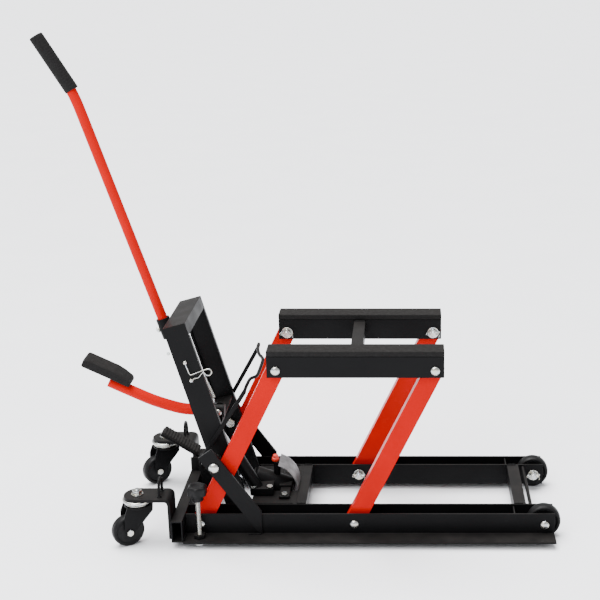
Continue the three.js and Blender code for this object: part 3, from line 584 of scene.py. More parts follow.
class LIFT_JackSettings(bpy.types.PropertyGroup):
    """Sizes of the hydraulic unit."""

    cylinder_radius: length("Cylinder radius", 0.026, "Outside radius of the lift cylinder")
    ram_radius: length("Ram radius", 0.011, "Radius of the chromed ram")
    pump_radius: length("Pump radius", 0.015, "Outside radius of the pump barrel")
    plunger_radius: length("Plunger radius", 0.006, "Radius of the pump plunger")


class LIFT_StageSettings(bpy.types.PropertyGroup):
    """Camera and light."""

    lens: bpy.props.FloatProperty(
        name="Lens", default=69.96, description="Focal length of the camera in millimetres"
    )
    key_power: bpy.props.FloatProperty(
        name="Key light", default=80.0, description="Power of the main softbox in watts"
    )
    sky: bpy.props.FloatProperty(
        name="Surrounding light", default=0.9, description="Brightness of the white surroundings"
    )
    overhead: bpy.props.FloatProperty(
        name="Overhead light", default=8.0, description="Strength of the wide light from above"
    )


SETTINGS = {
    "lift_frame": LIFT_FrameSettings,
    "lift_wheels": LIFT_WheelSettings,
    "lift_handle": LIFT_HandleSettings,
    "lift_jack": LIFT_JackSettings,
    "lift_stage": LIFT_StageSettings,
}


# ---- Steel frame ----

BLACK_NODES = [
    "rail_near", "rail_far", "brace_near", "brace_far", "mast_leg_near", "mast_leg_far",
    "mast_bridge", "front_cross_tube", "mid_cross_member", "rear_cross_member",
    "beam_near", "beam_far", "platform_cross_member", "pump_bracket", "release_lever", "torque_tube",
]
RED_NODES = ["front_arm_near", "front_arm_far", "rear_arm_near", "rear_arm_far"]


def dress_node(name, material, radius):
    """A CAD node keeps its shape and gets a finish and slightly rounded edges."""
    piece = frame["nodes"][name]
    piece.data.materials.clear()
    piece.data.materials.append(material)
    weld = piece.modifiers.new("join_faces", "WELD")
    weld.merge_threshold = 0.01 * MM
    round_edges(piece, radius / MM, 3, 44.0)


def weld_bead(start, end, radius, up):
    """A weld bead: a round bar whose thickness ripples along its length and dies at its ends."""
    count = max(12, int(np.linalg.norm(end - start) / (0.7 * MM)))
    t = np.linspace(0, 1, count)
    path = start + (end - start) * t[:, None]
    ripple = 1 + 0.14 * np.sin(2 * math.pi * t * np.linalg.norm(end - start) / (3.2 * MM))
    fade = np.clip(np.sin(math.pi * t) * 6, 0.25, 1)
    return swept(path, ring(radius / MM, 10), up, ripple * fade)


def frame_weld_lines():
    """Start, end and up direction of each weld on the base frame, for both sides."""
    lines = []
    for side in SIDES.values():
        inner = side * (RAIL_INNER - WELD_INSET)
        for x in (206, 692):
            lines.append((at(x, inner, 64), at(x + 20, inner, 64), (0, 0, 1)))
        lines.append((at(-32.6, side * 102, 18), at(-32.6, side * 102, 62), (1, 0, 0)))
        lines.append((at(-32.6, side * 151, 19), at(-32.6, side * 188, 19), (1, 0, 0)))
        for edge in (125, 181):
            lines.append((at(-58.4, side * edge, 22), at(-58.4, side * edge, 64), (1, 0, 0)))
        lines.append((at(104, side * 157, 18.6), at(134, side * 157, 18.6), (0, 0, 1)))
        lines.append((at(104, inner, 63.4), at(200, inner, 63.4), (0, 0, 1)))
        lines.append((at(56, side * 99.8, 64.4), at(101, side * 99.8, 64.4), (0, 0, 1)))
    return lines


class LIFT_OT_frame(bpy.types.Operator):
    """Give the steel frame its finishes, round edges and weld beads"""

    bl_idname = "lift.frame"
    bl_label = "Steel frame"

    def execute(self, context):
        settings = context.scene.lift_frame
        for name in BLACK_NODES:
            dress_node(name, black_powder_coat(), settings.edge_radius)
        for name in RED_NODES:
            radius = settings.arm_radius if "arm" in name else settings.edge_radius
            dress_node(name, red_enamel(), radius)
        beads = [weld_bead(a, b, settings.weld_radius, up) for a, b, up in frame_weld_lines()]
        add_piece("frame_welds", beads, black_powder_coat, "frame")
        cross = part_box("platform_cross_member")
        beads = []
        for side in SIDES.values():
            y = side * (RAIL_INNER - WELD_INSET) * MM
            start = np.array([cross[0].x + 1 * MM, y, cross[1].z])
            end = np.array([cross[1].x - 1 * MM, y, cross[1].z])
            beads.append(weld_bead(start, end, settings.weld_radius * 0.8, (0, 0, 1)))
        add_piece("platform_welds", beads, black_powder_coat, "platform")
        stop = turned([(0, 0), (3.4, 0), (4, 0.6), (4, 198.8), (3.4, 199.4), (0, 199.4)],
                      at(729, -99.7, 57), (0, 1, 0), 28)
        add_piece("rear_stop", [stop], black_powder_coat, "frame", "rear_stop_rod")
        return {"FINISHED"}


# ---- Platform pads ----


def pad_section(width, height):
    """A pad's cross-section: flat below, with rounded shoulders and shallow lengthwise grooves
    cut into its top as a raised cosine."""
    y = np.linspace(width / 2, -width / 2, 121)
    shoulder = np.clip(np.abs(y) - (width / 2 - 2.6), 0, 2.6)
    grooves = 0.45 * np.clip(np.cos(2 * math.pi * y / 4.2) - 0.3, 0, 1) * (np.abs(y) < width / 2 - 3)
    top = height - 2.6 + np.sqrt(np.maximum(2.6**2 - shoulder**2, 0)) - grooves
    low = np.array([[-width / 2, 1.2], [-width / 2 + 0.9, 0.3], [width / 2 - 0.9, 0.3], [width / 2, 1.2]])
    return np.vstack([low, np.stack([y, top], -1)])


class LIFT_OT_pads(bpy.types.Operator):
    """Build the grooved rubber pads on the platform"""

    bl_idname = "lift.pads"
    bl_label = "Platform pads"

    def execute(self, context):
        for name in SIDES:
            low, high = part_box(f"beam_pad_{name}")
            section = pad_section((high.y - low.y) / MM, (high.z - low.z) / MM)
            inset = np.array([0.0, 0.35, 1.0, 1.6]) * MM
            x = np.concatenate([low.x + inset, np.linspace(low.x + 8 * MM, high.x - 8 * MM, 24),
                                (high.x - inset)[::-1]])
            near_end = np.minimum(x - low.x, high.x - x) / (1.6 * MM)
            scale = 1 - 0.06 * (1 - np.clip(near_end, 0, 1)) ** 2
            middle = (low.y + high.y) / 2
            y = middle + section[None, :, 0] * MM * (1 + (scale - 1)[:, None] * 0.6)
            z = low.z + section[None, :, 1] * MM * scale[:, None]
            points = np.stack([np.broadcast_to(x[:, None], y.shape), y, z], -1)
            add_piece(f"platform_pad_{name}", [grid_shell(points, capped=True)], rubber, "platform",
                      f"beam_pad_{name}", sharp=30)
        return {"FINISHED"}


# ---- Bolts ----

DOME = [(0, 6.0), (4, 5.7), (7, 4.7), (9.2, 3.0), (10, 1.6), (10, 0.3), (9.8, 0), (0, 0)]


def dome_head(centre, axis, radius=10.0, height=6.0):
    """A smooth domed bolt head standing on its face."""
    profile = [(r * radius / 10, h * height / 6) for r, h in DOME[::-1]]
    return turned(bent(profile, 0.6, 4), centre, axis, 56)


def washer(centre, axis, outer=13.0, inner=6.1, thickness=WASHER_THICKNESS):
    """A flat washer with softened rims."""
    rim = 0.35
    profile = [(inner, 0), (outer - rim, 0), (outer, rim), (outer, thickness - rim),
               (outer - rim, thickness), (inner, thickness)]
    return turned(profile, centre, axis, 56, closed=True)


def castle_nut(centre, axis):
    """A hexagon nut with a ring of castellations, whose height drops in six slots, round the
    rounded end of its bolt."""
    sides = 96
    turn = np.linspace(0, 2 * math.pi, sides, endpoint=False)
    top = np.where(np.cos(6 * turn) > 0.5, 6.9, 9.4)
    crown = turned([(0, 6.2), (8.3, 6.2), (8.3, top), (5.7, top), (5.7, 6.5), (0, 6.5)], centre, axis,
                   sides)
    end = turned([(0, 6.3), (4.9, 6.3), (4.9, 8.2), (4.0, 8.9), (0, 9.1)], centre, axis, 40)
    return [hexagon(9.2, 0, 6.6, centre, axis), crown, end]


def split_pin(centre, axis):
    """A split pin through a nut: two wires side by side whose ends turn back over the crown."""
    axis, across, up = axes_about(axis)
    shells = []
    for sign in (-1, 1):
        points = [across * -13 + up * sign * 0.9, across * 11 + up * sign * 0.9,
                  across * 14 + up * sign * 4.5 + axis * 1.5, across * 13 + up * sign * 8 + axis * 2.5]
        path = smooth(centre + MM * (np.array(points) + axis * 7.9), 6)
        shells.append(wire(path, 0.85, axis, 8))
    turn = np.linspace(-0.85 * math.pi, 0.85 * math.pi, 20)[:, None]
    eye = centre + MM * (across * (-15.4 - 2.6 * np.cos(turn) + 2.6) + up * 2.6 * np.sin(turn) + axis * 7.9)
    shells.append(wire(eye, 0.85, axis, 8))
    return shells


def pivot_bolt_shells(place, side, with_nut):
    """A bolt through a channel: domed head outside, washer, castle nut and split pin inside."""
    out = np.array([0, side, 0])
    outer = place + out * (RAIL_OUTER + SEAT_GAP) * MM
    shells = [dome_head(outer, out)]
    shells.append(turned([(0, -63.6), (5.2, -63.6), (6, -62.6), (6, 1), (0, 1)], outer, out, 32))
    if with_nut:
        face = place + out * (RAIL_INNER - SEAT_GAP) * MM
        shells.append(washer(face, -out))
        seat = face - out * WASHER_THICKNESS * MM
        shells.extend(castle_nut(seat, -out))
        shells.extend(split_pin(seat, -out))
    return shells


class LIFT_OT_bolts(bpy.types.Operator):
    """Build the pivot, axle and knee bolts with their washers, castle nuts and split pins"""

    bl_idname = "lift.bolts"
    bl_label = "Bolts"

    def execute(self, context):
        lower_rear = joint_point("rear_lift")
        upper_front = joint_point("platform_level")
        spacing = lower_rear - joint_point("lift")
        axle = joint_point("near_rear_wheel_spin")
        places = {
            "lower_front_bolt": (joint_point("lift"), False),
            "lower_rear_bolt": (lower_rear, True),
            "upper_front_bolt": (upper_front, True),
            "upper_rear_bolt": (upper_front + spacing, True),
            "axle_bolt": (axle, True),
        }
        for kind, (place, with_nut) in places.items():
            middle = place * np.array([1, 0, 1])
            for name, side in SIDES.items():
                node = f"{kind}_{name}"
                add_piece(f"{kind}_{name}_finished", pivot_bolt_shells(middle, side, with_nut),
                          zinc_plate, body_of(node), node)
        for name, side in SIDES.items():
            out = np.array([0, side, 0])
            knee = at(KNEE_X, 0, KNEE_Z)
            shells = [
                dome_head(knee + out * 156.6 * MM, out, 11.4, 6.6),
                turned([(0, 84), (6.2, 84), (7, 85), (7, 157), (0, 157)], knee, out, 32),
                turned([(7.05, 100), (7.6, 100), (7.6, 149.9), (7.05, 149.9)], knee, out, 32, closed=True),
                hexagon(9.8, 86, 95.2, knee, out),
            ]
            add_piece(f"knee_bolt_{name}_finished", shells, zinc_plate, "frame", f"knee_bolt_{name}")
        return {"FINISHED"}


# ---- Wheels and casters ----


def wheel_shell(radius, width, bore, hub, recess, centre, axis):
    """A moulded wheel: rounded tread, dished web, raised hub and a bored axle hole."""
    half = width / 2
    outline = [
        (bore, -half), (hub, -half), (hub + 1.2, -half + recess), (radius * 0.74, -half + recess),
        (radius * 0.79, -half + 0.6), (radius * 0.93, -half + 0.2), (radius, -half * 0.52),
        (radius, half * 0.52), (radius * 0.93, half - 0.2), (radius * 0.79, half - 0.6),
        (radius * 0.74, half - recess), (hub + 1.2, half - recess), (hub, half), (bore, half),
    ]
    return turned(bent(outline, 2.4, 5), centre, axis, 96, closed=True)


class LIFT_OT_rear_wheels(bpy.types.Operator):
    """Build the two rear wheels"""

    bl_idname = "lift.rear_wheels"
    bl_label = "Rear wheels"

    def execute(self, context):
        settings = context.scene.lift_wheels
        radius, width = settings.rear_radius / MM, settings.rear_width / MM
        for name in SIDES:
            centre = joint_point(f"{name}_rear_wheel_spin")
            shell = wheel_shell(radius, width, 6.6, 13, 4, centre, (0, 1, 0))
            add_piece(f"rear_wheel_{name}_finished", [shell], nylon, f"{name}_rear_wheel",
                      f"rear_wheel_{name}", sharp=50)
        return {"FINISHED"}


def fork_sheet(stem, ahead, side, sign):
    """One side of a caster fork: a sheet from the raceway to the axle. Its two edges are broken
    straight lines that narrow downwards, and below the axle they close in a half circle."""
    t = np.linspace(0, 1, 26)
    foot = 0.86
    front = np.interp(t, [0, 0.25, foot], [28.5, 35.5, 37.5])
    rear = np.interp(t, [0, 0.24, foot], [-28.5, -27.0, 14.0])
    past = np.clip((t - foot) / (1 - foot), 0, 1)
    close = np.sqrt(np.maximum(1 - past**2, 0.02))
    middle = (front + rear) / 2
    half = (front - rear) / 2 * close
    drop = 93 - 68.0 * t
    along = middle[:, None] + half[:, None] * np.linspace(-1, 1, 9)[None]
    flare = sign * (15.2 + 0.6 * np.sin(math.pi * t))
    points = (stem + MM * (along[:, :, None] * ahead + flare[:, None, None] * side)
              + MM * drop[:, None, None] * np.array([0, 0, 1.0]))
    return grid_shell(points, wrap_cols=False)


class LIFT_OT_casters(bpy.types.Operator):
    """Build the swivel casters with their forks, raceways and wheels"""

    bl_idname = "lift.casters"
    bl_label = "Casters"

    def execute(self, context):
        settings = context.scene.lift_wheels
        radius, width = settings.caster_radius / MM, settings.caster_width / MM
        up = np.array([0, 0, 1.0])
        for name in SIDES:
            stem = joint_point(f"{name}_caster_swivel") * np.array([1, 1, 0])
            centre = joint_point(f"{name}_caster_wheel_spin")
            side = joint_axis(f"{name}_caster_wheel_spin")
            ahead = np.cross(side, up)
            body = f"{name}_caster"
            sheets = [fork_sheet(stem, ahead, side, sign) for sign in (-1, 1)]
            fork = add_piece(f"caster_fork_{name}_sides", sheets, black_powder_coat, body,
                             f"caster_fork_{name}")
            thicken(fork, 3.0)
            round_edges(fork, 0.7)
            crown = turned([(0, 89.5), (27.5, 89.5), (29.5, 90.8), (29.5, 93.4), (28, 94.6), (0, 94.6)],
                           stem, up, 64)
            add_piece(f"caster_crown_{name}", [crown], black_powder_coat, body)
            raceway = [(0, 94.8), (25, 94.8), (28.6, 96.4), (28.6, 97.8), (26.4, 98.8), (26.4, 99.6),
                       (31.2, 100.4), (32.6, 102.4), (32.6, 105.6), (30.6, 107.4), (0, 107.6)]
            shells = [
                turned(bent(raceway, 0.9, 4), stem, up, 64),
                turned([(0, 100), (6, 100), (6, 126), (5, 127), (0, 127)], stem, up, 32),
                washer(stem + up * 114.3 * MM, up),
                hexagon(9.2, 116.4, 123.6, stem, up),
                turned([(0, -19.3), (4, -19.3), (4, 19.3), (0, 19.3)], centre, side, 24),
                hexagon(6.6, 16.8, 21.4, centre, side, 0.7),
                turned(bent([(0, -21.4), (5.4, -21.0), (7.4, -19.2), (7.4, -16.7), (0, -16.7)], 0.8, 4),
                       centre, side, 32),
            ]
            add_piece(f"caster_hardware_{name}", shells, zinc_plate, body)
            shell = wheel_shell(radius, width, 4.6, 10, 2.6, centre, side)
            add_piece(f"caster_wheel_{name}_finished", [shell], nylon, f"{name}_caster_wheel",
                      f"caster_wheel_{name}", sharp=50)
        return {"FINISHED"}


class LIFT_OT_straps(bpy.types.Operator):
    """Build the bent straps that carry the casters, with their tie-down eyes"""

    bl_idname = "lift.straps"
    bl_label = "Caster straps"

    def execute(self, context):
        width, thickness = 58.0, 6.0
        top, face = 114.0 - thickness / 2, -58.3 - thickness / 2
        for name, side in SIDES.items():
            end = np.linspace(0, math.pi / 2, 14)
            round_x = CASTER_X - width / 2 * np.cos(end)
            round_half = width / 2 * np.maximum(np.sin(end), 0.03)
            bend = bent([(CASTER_X + 2, top), (face, top), (face, 20.5)], 12, 10)
            x = np.concatenate([round_x, bend[:, 0]])
            z = np.concatenate([np.full(len(end), top), bend[:, 1]])
            half = np.concatenate([round_half, np.full(len(bend), width / 2)])
            v = np.linspace(-1, 1, 9)
            y = side * CASTER_Y + half[:, None] * v[None]
            points = sheet_points(x[:, None], y, z[:, None])
            strap = add_piece(f"caster_strap_{name}_finished", [grid_shell(points, wrap_cols=False)],
                              black_powder_coat, "frame", f"caster_strap_{name}", sharp=50)
            thicken(strap, thickness)
            round_edges(strap, 1.2, 3, 50)
            middle = side * CASTER_Y
            eye = smooth([at(EYE_X, middle + dy, dz) for dy, dz in (
                (-EYE_HALF, 110), (-EYE_HALF, 122), (-14.5, 134), (-10, 146), (0, 151.5),
                (10, 146), (14.5, 134), (EYE_HALF, 122), (EYE_HALF, 110))], 6)
            shells = [wire(eye, 3.0, (1, 0, 0), 18)]
            for dy in (-EYE_HALF, EYE_HALF):
                foot = [(3, 114), (5.2, 114.2), (4.2, 116.2), (3, 117.2)]
                shells.append(turned(foot, at(EYE_X, middle + dy, 0), (0, 0, 1), 24, closed=True))
            add_piece(f"tie_down_eye_{name}", shells, black_powder_coat, "frame")
        return {"FINISHED"}


# ---- Levelling screws ----


def knob_shell(centre):
    """A six-lobed knob on a round neck: the radius swells and shrinks with the angle, its
    shoulders are rounded by drawing each level in, and its top is a shallow dish."""
    sides = 96
    turn = np.linspace(0, 2 * math.pi, sides, endpoint=False)
    lobes = 1.5 * np.cos(6 * turn)
    rows = [(0, 108), (11.6, 108), (12.6, 109), (12.6, 119.6), (14.0, 121)]
    drawn_in = [(2.6, 121.4), (0.8, 122), (0, 123.6), (0, 137), (0.7, 139.6), (2.4, 141.8), (4.4, 143)]
    for inset, level in drawn_in:
        rows.append((20.5 + lobes * (1 - inset / 9) - inset, level))
    rows.extend([(13.6, 143.3), (12.4, 142.4), (0, 141.6)])
    return turned(rows, centre, (0, 0, 1), sides)


def thread_shell(centre, radius, low, high, pitch=2.0):
    """A screw thread: the radius falls and rises once for each turn and each pitch of height."""
    sides = 32
    levels = np.arange(low, high, pitch / 6)
    turn = np.arange(sides) / sides
    phase = levels[:, None] / pitch - turn[None]
    depth = 0.7 * np.abs(2 * (phase - np.floor(phase)) - 1)
    rows = [(0, low)] + [(radius - depth[i], level) for i, level in enumerate(levels)] + [(0, high)]
    return turned(rows, centre, (0, 0, 1), sides)


class LIFT_OT_levelling_screws(bpy.types.Operator):
    """Build the levelling screws with their knobs and foot pads"""

    bl_idname = "lift.levelling_screws"
    bl_label = "Levelling screws"

    def execute(self, context):
        for name, side in SIDES.items():
            centre = at(0, side * SCREW_Y, 0)
            body = f"{name}_screw"
            foot = bent([(0, 4), (12.4, 4), (13, 5.2), (13, 7.4), (8, 10), (0, 10)], 0.7, 4)
            shells = [turned(foot, centre, (0, 0, 1), 56), thread_shell(centre, 5.5, 9.5, 108.5)]
            add_piece(f"levelling_screw_{name}_finished", shells, zinc_plate, body,
                      f"levelling_screw_{name}")
            add_piece(f"levelling_knob_{name}", [knob_shell(centre)], nylon, body, sharp=45)
        return {"FINISHED"}


# ---- Steering handle ----

HANDLE_FOOT = (-81, 0, 445)
HANDLE_BEND = (-243.9, 0, 964)
GRIP_ANGLE = math.radians(120.6)


def handle_point(distance):
    """A point up the straight of the handle, from its socket."""
    return at(*HANDLE_FOOT) + joint_axis("handle_pull") * distance * MM


def grip_point(distance):
    """A point up the handle's bent end, from the bend."""
    return at(*HANDLE_BEND) + np.array([math.cos(GRIP_ANGLE), 0, math.sin(GRIP_ANGLE)]) * distance * MM


class LIFT_OT_handle(bpy.types.Operator):
    """Build the steering handle, its grip, its socket and its clamp screw"""

    bl_idname = "lift.handle"
    bl_label = "Steering handle"

    def execute(self, context):
        settings = context.scene.lift_handle
        radius = settings.tube_radius / MM
        grip_radius, grip_length = settings.grip_radius / MM, settings.grip_length / MM
        line = bent([handle_point(-18), handle_point(300), grip_point(0), grip_point(grip_length - 8)],
                    40 * MM, 14)
        add_piece("handle_tube_finished", [swept(line, ring(radius, 40))], red_enamel,
                  "steering_handle", "handle_tube")

        axis = np.array([math.cos(GRIP_ANGLE), 0, math.sin(GRIP_ANGLE)])
        rows = [(radius + 0.4, 2.5), (grip_radius - 1.0, 2.5), (grip_radius, 3.6)]
        levels = np.linspace(6, grip_length - 6, 90)
        relief = -0.35 * np.clip(np.cos(2 * math.pi * levels / 6.0), 0, 1)
        rows += [(grip_radius + r, h) for r, h in zip(relief, levels)]
        rows += [(grip_radius, grip_length - 2.4), (grip_radius - 1.6, grip_length - 0.4),
                 (grip_radius - 6, grip_length), (0, grip_length)]
        add_piece("handle_grip_finished", [turned(rows, grip_point(0), axis, 64)], rubber,
                  "steering_handle", "handle_grip", sharp=60)

        along = joint_axis("handle_pull")
        cup = [(0, -23), (14.2, -23), (15, -22), (15, 22), (14.4, 23), (radius + 0.7, 23),
               (radius + 0.5, 21), (radius + 0.5, -19), (0, -19)]
        add_piece("handle_socket_finished", [turned(cup, at(*HANDLE_FOOT), along, 56)],
                  black_powder_coat, "frame", "handle_socket")
        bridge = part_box("mast_bridge")
        lug_top = (bridge[0].x - PIVOT_X) / MM
        lug = prism([(lug_top + 1.2, 466), (lug_top + 8.6, 441), (-77, 428), (-84, 455)], -10, 10)
        round_edges(add_piece("handle_lug", [lug], black_powder_coat, "frame"), 1.2)

        out = joint_axis("clamp_screw_turn_out")
        base = at(*HANDLE_FOOT)
        shells = [
            turned([(0, radius + 0.5), (3, radius + 0.5), (3, 18), (0, 18)], base, out, 24),
            hexagon(5.8, 15.6, 20.5, base, out, 0.7),
            turned([(0, 20.3), (2.6, 20.3), (2.6, 22.6), (0, 22.8)], base, out, 24),
        ]
        add_piece("clamp_screw_finished", shells, zinc_plate, "clamp_screw", "handle_clamp_screw")
        return {"FINISHED"}


# ---- Hydraulic unit ----

RAM_MIDDLE = (75 * math.cos(math.radians(70)), 0, 39 + 75 * math.sin(math.radians(70)))
HALF_STROKE = 75 * math.tan(math.radians(28))
PUMP_TOP = (54.6, -44, 180.6)


def ram_point(distance):
    """A point on the ram's line, from the middle of its stroke towards the lever."""
    return at(*RAM_MIDDLE) + joint_axis("ram_slide") * distance * MM


def ram_up():
    """The unit vector at a right angle to the ram, in the middle plane."""
    axis = joint_axis("ram_slide")
    return np.array([axis[2], 0, -axis[0]])


def ram_plate(low, high, y_low, y_high, half):
    """A plate of the ram's fork, between two distances along the ram, round at its far end."""
    up = ram_up()
    turn = np.linspace(-math.pi / 2, math.pi / 2, 11)
    outline = [(low, half), (low, -half)]
    outline += [(high - half + half * math.cos(a), half * math.sin(a)) for a in turn]
    rows = []
    for y in (y_low, y_high):
        rows.append([ram_point(d) + up * h * MM + np.array([0, y * MM, 0]) for d, h in outline])
    return grid_shell(np.array(rows), capped=True)


class LIFT_OT_jack(bpy.types.Operator):
    """Build the hydraulic unit: cylinder, valve block, pump, plunger, ram and guard"""

    bl_idname = "lift.jack"
    bl_label = "Hydraulic unit"

    def execute(self, context):
        settings = context.scene.lift_jack
        ram_axis = joint_axis("ram_slide")
        pump_axis = -joint_axis("pump_plunger_stroke")
        cylinder_radius, ram_radius = settings.cylinder_radius / MM, settings.ram_radius / MM
        pump_radius, plunger_radius = settings.pump_radius / MM, settings.plunger_radius / MM
        middle = at(*RAM_MIDDLE)

        barrel = bent([(0, -169.5), (cylinder_radius - 1, -169.5), (cylinder_radius, -168),
                       (cylinder_radius, -84), (cylinder_radius - 2, -81), (19.5, -79.5), (19.5, -78)],
                      1, 4)
        shells = [
            turned(barrel, middle, ram_axis, 72),
            hexagon(20.2, -79.5, -74.6, middle, ram_axis, 1.4),
            turned([(0, -75), (ram_radius + 4.5, -75), (ram_radius + 4.5, -73.4), (ram_radius + 0.4, -73.2),
                    (0, -74)], middle, ram_axis, 48),
        ]
        add_piece("lift_cylinder", shells, black_powder_coat, "frame", "jack_body")

        blocks = [block((160, -32, 24), (190, 32, 76)), block((164, -78, 63.3), (188, 58, 71)),
                  block((98, -62, 63.3), (150, -18, 82))]
        for i, shell in enumerate(blocks):
            round_edges(add_piece(f"valve_block_{i + 1}", [shell], black_powder_coat, "frame"), 2.0)

        top = at(*PUMP_TOP)
        pump = bent([(0, -121), (pump_radius, -121), (pump_radius, -12), (pump_radius - 1.4, -10),
                     (pump_radius - 1.4, -7)], 0.8, 4)
        shells = [turned(pump, top, pump_axis, 56), hexagon(13.8, -9, -1.6, top, pump_axis, 1.2),
                  turned([(0, -2), (9.4, -2), (9.4, -0.4), (plunger_radius + 0.3, 0), (0, -0.6)],
                         top, pump_axis, 40)]
        add_piece("pump_barrel", shells, black_powder_coat, "frame")

        fasteners = []
        for x, y in ((176, -70), (176, 48), (106, -56), (142, -56)):
            level = 71 if x == 176 else 82
            fasteners.append(hexagon(6.4, 0, 4.6, at(x, y, level), (0, 0, 1), 0.8))
        add_piece("jack_cap_screws", fasteners, zinc_plate, "frame")

        neck = turned(bent([(0, 78), (8, 78), (8, 118), (9.2, 119), (9.2, 121.6), (0, 122)], 0.6, 4),
                      at(148.5, 0, 0), (0.05, 0, 1), 40)
        add_piece("filler_neck", [neck], black_powder_coat, "frame")
        sides = 60
        turn = np.linspace(0, 2 * math.pi, sides, endpoint=False)
        knurl = 8.2 + 0.35 * np.cos(20 * turn)
        plug = turned([(0, 0.3), (knurl - 0.8, 0.3), (knurl, 1.2), (knurl, 6.8), (knurl - 1, 7.8),
                       (6.4, 8.2), (6.3, 13.6), (5.2, 14.8), (0, 15)], at(150, 0, 122), (0.07, 0, 1),
                      sides)
        add_piece("filler_plug_finished", [plug], red_plastic, "frame", "filler_plug")

        rod = bent([(0, -125), (ram_radius - 0.8, -125), (ram_radius, -124), (ram_radius, -24),
                    (0, -23.5)], 0.6, 4)
        rod = [(r, h + HALF_STROKE) for r, h in rod]
        add_piece("ram_rod", [turned(rod, middle, ram_axis, 56)], hard_chrome, "lift_ram", "ram")
        fork = [ram_plate(HALF_STROKE - 31, HALF_STROKE + 11, sign * 9, sign * 15, 11) for sign in (-1, 1)]
        pin = turned([(0, -16), (5.2, -16), (6, -15.2), (6, 15.2), (5.2, 16), (0, 16)],
                     ram_point(HALF_STROKE), (0, 1, 0), 32)
        round_edges(add_piece("ram_yoke", fork, black_powder_coat, "lift_ram"), 1.2)
        back = block_on_ram(HALF_STROKE - 31, HALF_STROKE - 23, 15, 11)
        round_edges(add_piece("ram_yoke_back", [back], black_powder_coat, "lift_ram"), 1.0)
        add_piece("ram_pin", [pin], zinc_plate, "lift_ram")

        plunger = bent([(0, -50), (plunger_radius - 0.4, -50), (plunger_radius, -49),
                        (plunger_radius, 77.6), (plunger_radius - 1.2, 78.6), (0, 78.8)], 0.5, 4)
        add_piece("plunger_rod", [turned(plunger, top, pump_axis, 48)], hard_chrome, "plunger",
                  "pump_plunger")

        line = smooth([(160, 124), (178, 114), (193, 97), (201, 76), (203, 58), (203, 38)], 8)
        points = sheet_points(line[:, :1], np.linspace(-32, 32, 9)[None], line[:, 1:])
        guard = add_piece("guard_sheet", [grid_shell(points, wrap_cols=False)], sheet_steel, "frame",
                          "guard_plate", sharp=50)
        thicken(guard, 2.6)
        round_edges(guard, 0.6, 2)
        return {"FINISHED"}


def block_on_ram(low, high, half_width, half_height):
    """A box set along the ram's line."""
    up = ram_up()
    rows = []
    for d in (low, high):
        rows.append([ram_point(d) + MM * (up * h + np.array([0, w, 0]))
                     for h, w in ((-half_height, -half_width), (-half_height, half_width),
                                  (half_height, half_width), (half_height, -half_width))])
    return grid_shell(np.array(rows), capped=True)


# ---- Pump pedal ----


def slope_axes(slope):
    """Unit vectors along and out of a face that rises towards the front at an angle."""
    along = np.array([-math.cos(slope), 0, math.sin(slope)])
    return along, np.array([math.sin(slope), 0, math.cos(slope)])


def pedal_pad_shell(centre, along, up):
    """The foot pad: a moulded block with soft edges, thinner towards the pivot end, where its
    top slopes down in two steps. Height at each distance is read off a broken line."""
    side = unit(np.cross(up, along))
    half = 56.5
    u = np.concatenate([[0, 0.6, 2.2, 5], np.linspace(9, 2 * half - 9, 44),
                        2 * half - np.array([5, 2.2, 0.6, 0])])
    u = u - half
    close = np.interp(np.abs(u), half - np.array([5, 2.5, 1, 0]), [1.0, 0.94, 0.84, 0.7])
    top = np.interp(u, [-half, -52, -32, -14, half], [-4.0, 0.0, 6.5, 9.5, 9.5])
    section = rounded_rectangle(1.0, 1.0, 0.17, 7)
    width = 50 * (1 - (1 - close) * 0.35)
    low = -12.5 + (1 - close) * 7
    high = top - (1 - close) * 9
    y = section[None, :, 0] * width[:, None]
    z = (low + high)[:, None] / 2 + section[None, :, 1] * (high - low)[:, None]
    grooves = 0.5 * np.clip(np.cos(2 * math.pi * u / 7.0) - 0.2, 0, 1)
    z = z - grooves[:, None] * (section[None, :, 1] > 0.49)
    return grid_shell(centre + MM * (u[:, None, None] * along + y[:, :, None] * side
                                     + z[:, :, None] * up), capped=True)


